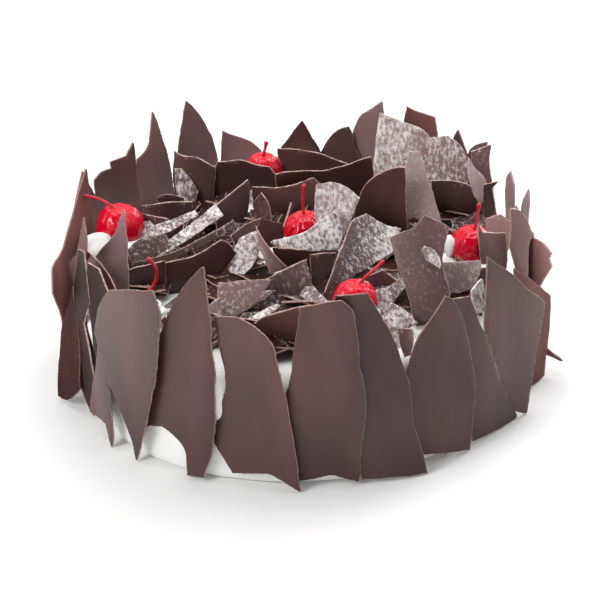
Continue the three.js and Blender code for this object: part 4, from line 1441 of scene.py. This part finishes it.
class CAKE_OT_stage(bpy.types.Operator):
    """Set up the floor, the soft studio light and the camera"""

    bl_idname = "cake.stage"
    bl_label = "Stage"

    def execute(self, context):
        scene = context.scene
        stage = scene.cake_stage
        paint = made_material("painted_floor", painted_floor, stage)
        corners = [(x * FLOOR_REACH, y * FLOOR_REACH, 0.0)
                   for x, y in ((-1, -1), (1, -1), (1, 1), (-1, 1))]
        floor = new_piece("studio_floor", paint, corners, [[0, 1, 2, 3]])

        scene.world = soft_surround(stage)
        for name, (place, width) in SOFTBOXES.items():
            softbox(f"{name}_softbox", place, width, getattr(stage, f"{name}_power"))
        scene.view_settings.view_transform = "Standard"

        elevation, roll = stage.camera_elevation, stage.camera_roll
        back = Vector((0, -math.cos(elevation), math.sin(elevation)))
        above = Vector((0, math.sin(elevation), math.cos(elevation)))
        right = Vector((1, 0, 0))
        camera = bpy.data.cameras.new("front_camera")
        camera.sensor_width = 36.0
        camera.lens = stage.camera_lens
        holder = bpy.data.objects.new("front_camera", camera)
        scene.collection.objects.link(holder)
        axes = Matrix((
            math.cos(roll) * right - math.sin(roll) * above,
            math.sin(roll) * right + math.cos(roll) * above,
            back)).transposed()
        holder.matrix_world = Matrix.LocRotScale(
            CAMERA_TARGET + stage.camera_distance * back, axes.to_quaternion(), None)
        scene.camera = holder
        return {"FINISHED"}


# ---- Panel and registration -------------------------------------------------

OPERATORS = (
    CAKE_OT_stage,
    CAKE_OT_cream,
    CAKE_OT_rosettes,
    CAKE_OT_cherries,
    CAKE_OT_wall_shards,
    CAKE_OT_heap_shards,
    CAKE_OT_small_shards,
    CAKE_OT_crumbs,
    CAKE_OT_icing_sugar,
)
SETTINGS = {
    "cake_stage": CakeStageSettings,
    "cake_cream": CakeCreamSettings,
    "cake_cherries": CakeCherrySettings,
    "cake_shards": CakeShardSettings,
    "cake_dusting": CakeDustingSettings,
}


class CAKE_PT_panel(bpy.types.Panel):
    bl_idname = "CAKE_PT_panel"
    bl_label = "Black Forest Cake"
    bl_space_type = "VIEW_3D"
    bl_region_type = "UI"
    bl_category = "Cake"

    def draw(self, context):
        for operator in OPERATORS:
            self.layout.operator(operator.bl_idname)
        for key, group in SETTINGS.items():
            box = self.layout.box()
            box.label(text=key.replace("_", " ").title())
            for name in group.__annotations__:
                box.prop(getattr(context.scene, key), name)


def register():
    for group in SETTINGS.values():
        bpy.utils.register_class(group)
    for key, group in SETTINGS.items():
        setattr(bpy.types.Scene, key, PointerProperty(type=group))
    for operator in OPERATORS:
        bpy.utils.register_class(operator)
    bpy.utils.register_class(CAKE_PT_panel)


def unregister():
    bpy.utils.unregister_class(CAKE_PT_panel)
    for operator in reversed(OPERATORS):
        bpy.utils.unregister_class(operator)
    for key in SETTINGS:
        delattr(bpy.types.Scene, key)
    for group in reversed(SETTINGS.values()):
        bpy.utils.unregister_class(group)


def main():
    register()
    for operator in OPERATORS:
        category, name = operator.bl_idname.split(".")
        getattr(getattr(bpy.ops, category), name)()


if __name__ == "__main__":
    main()
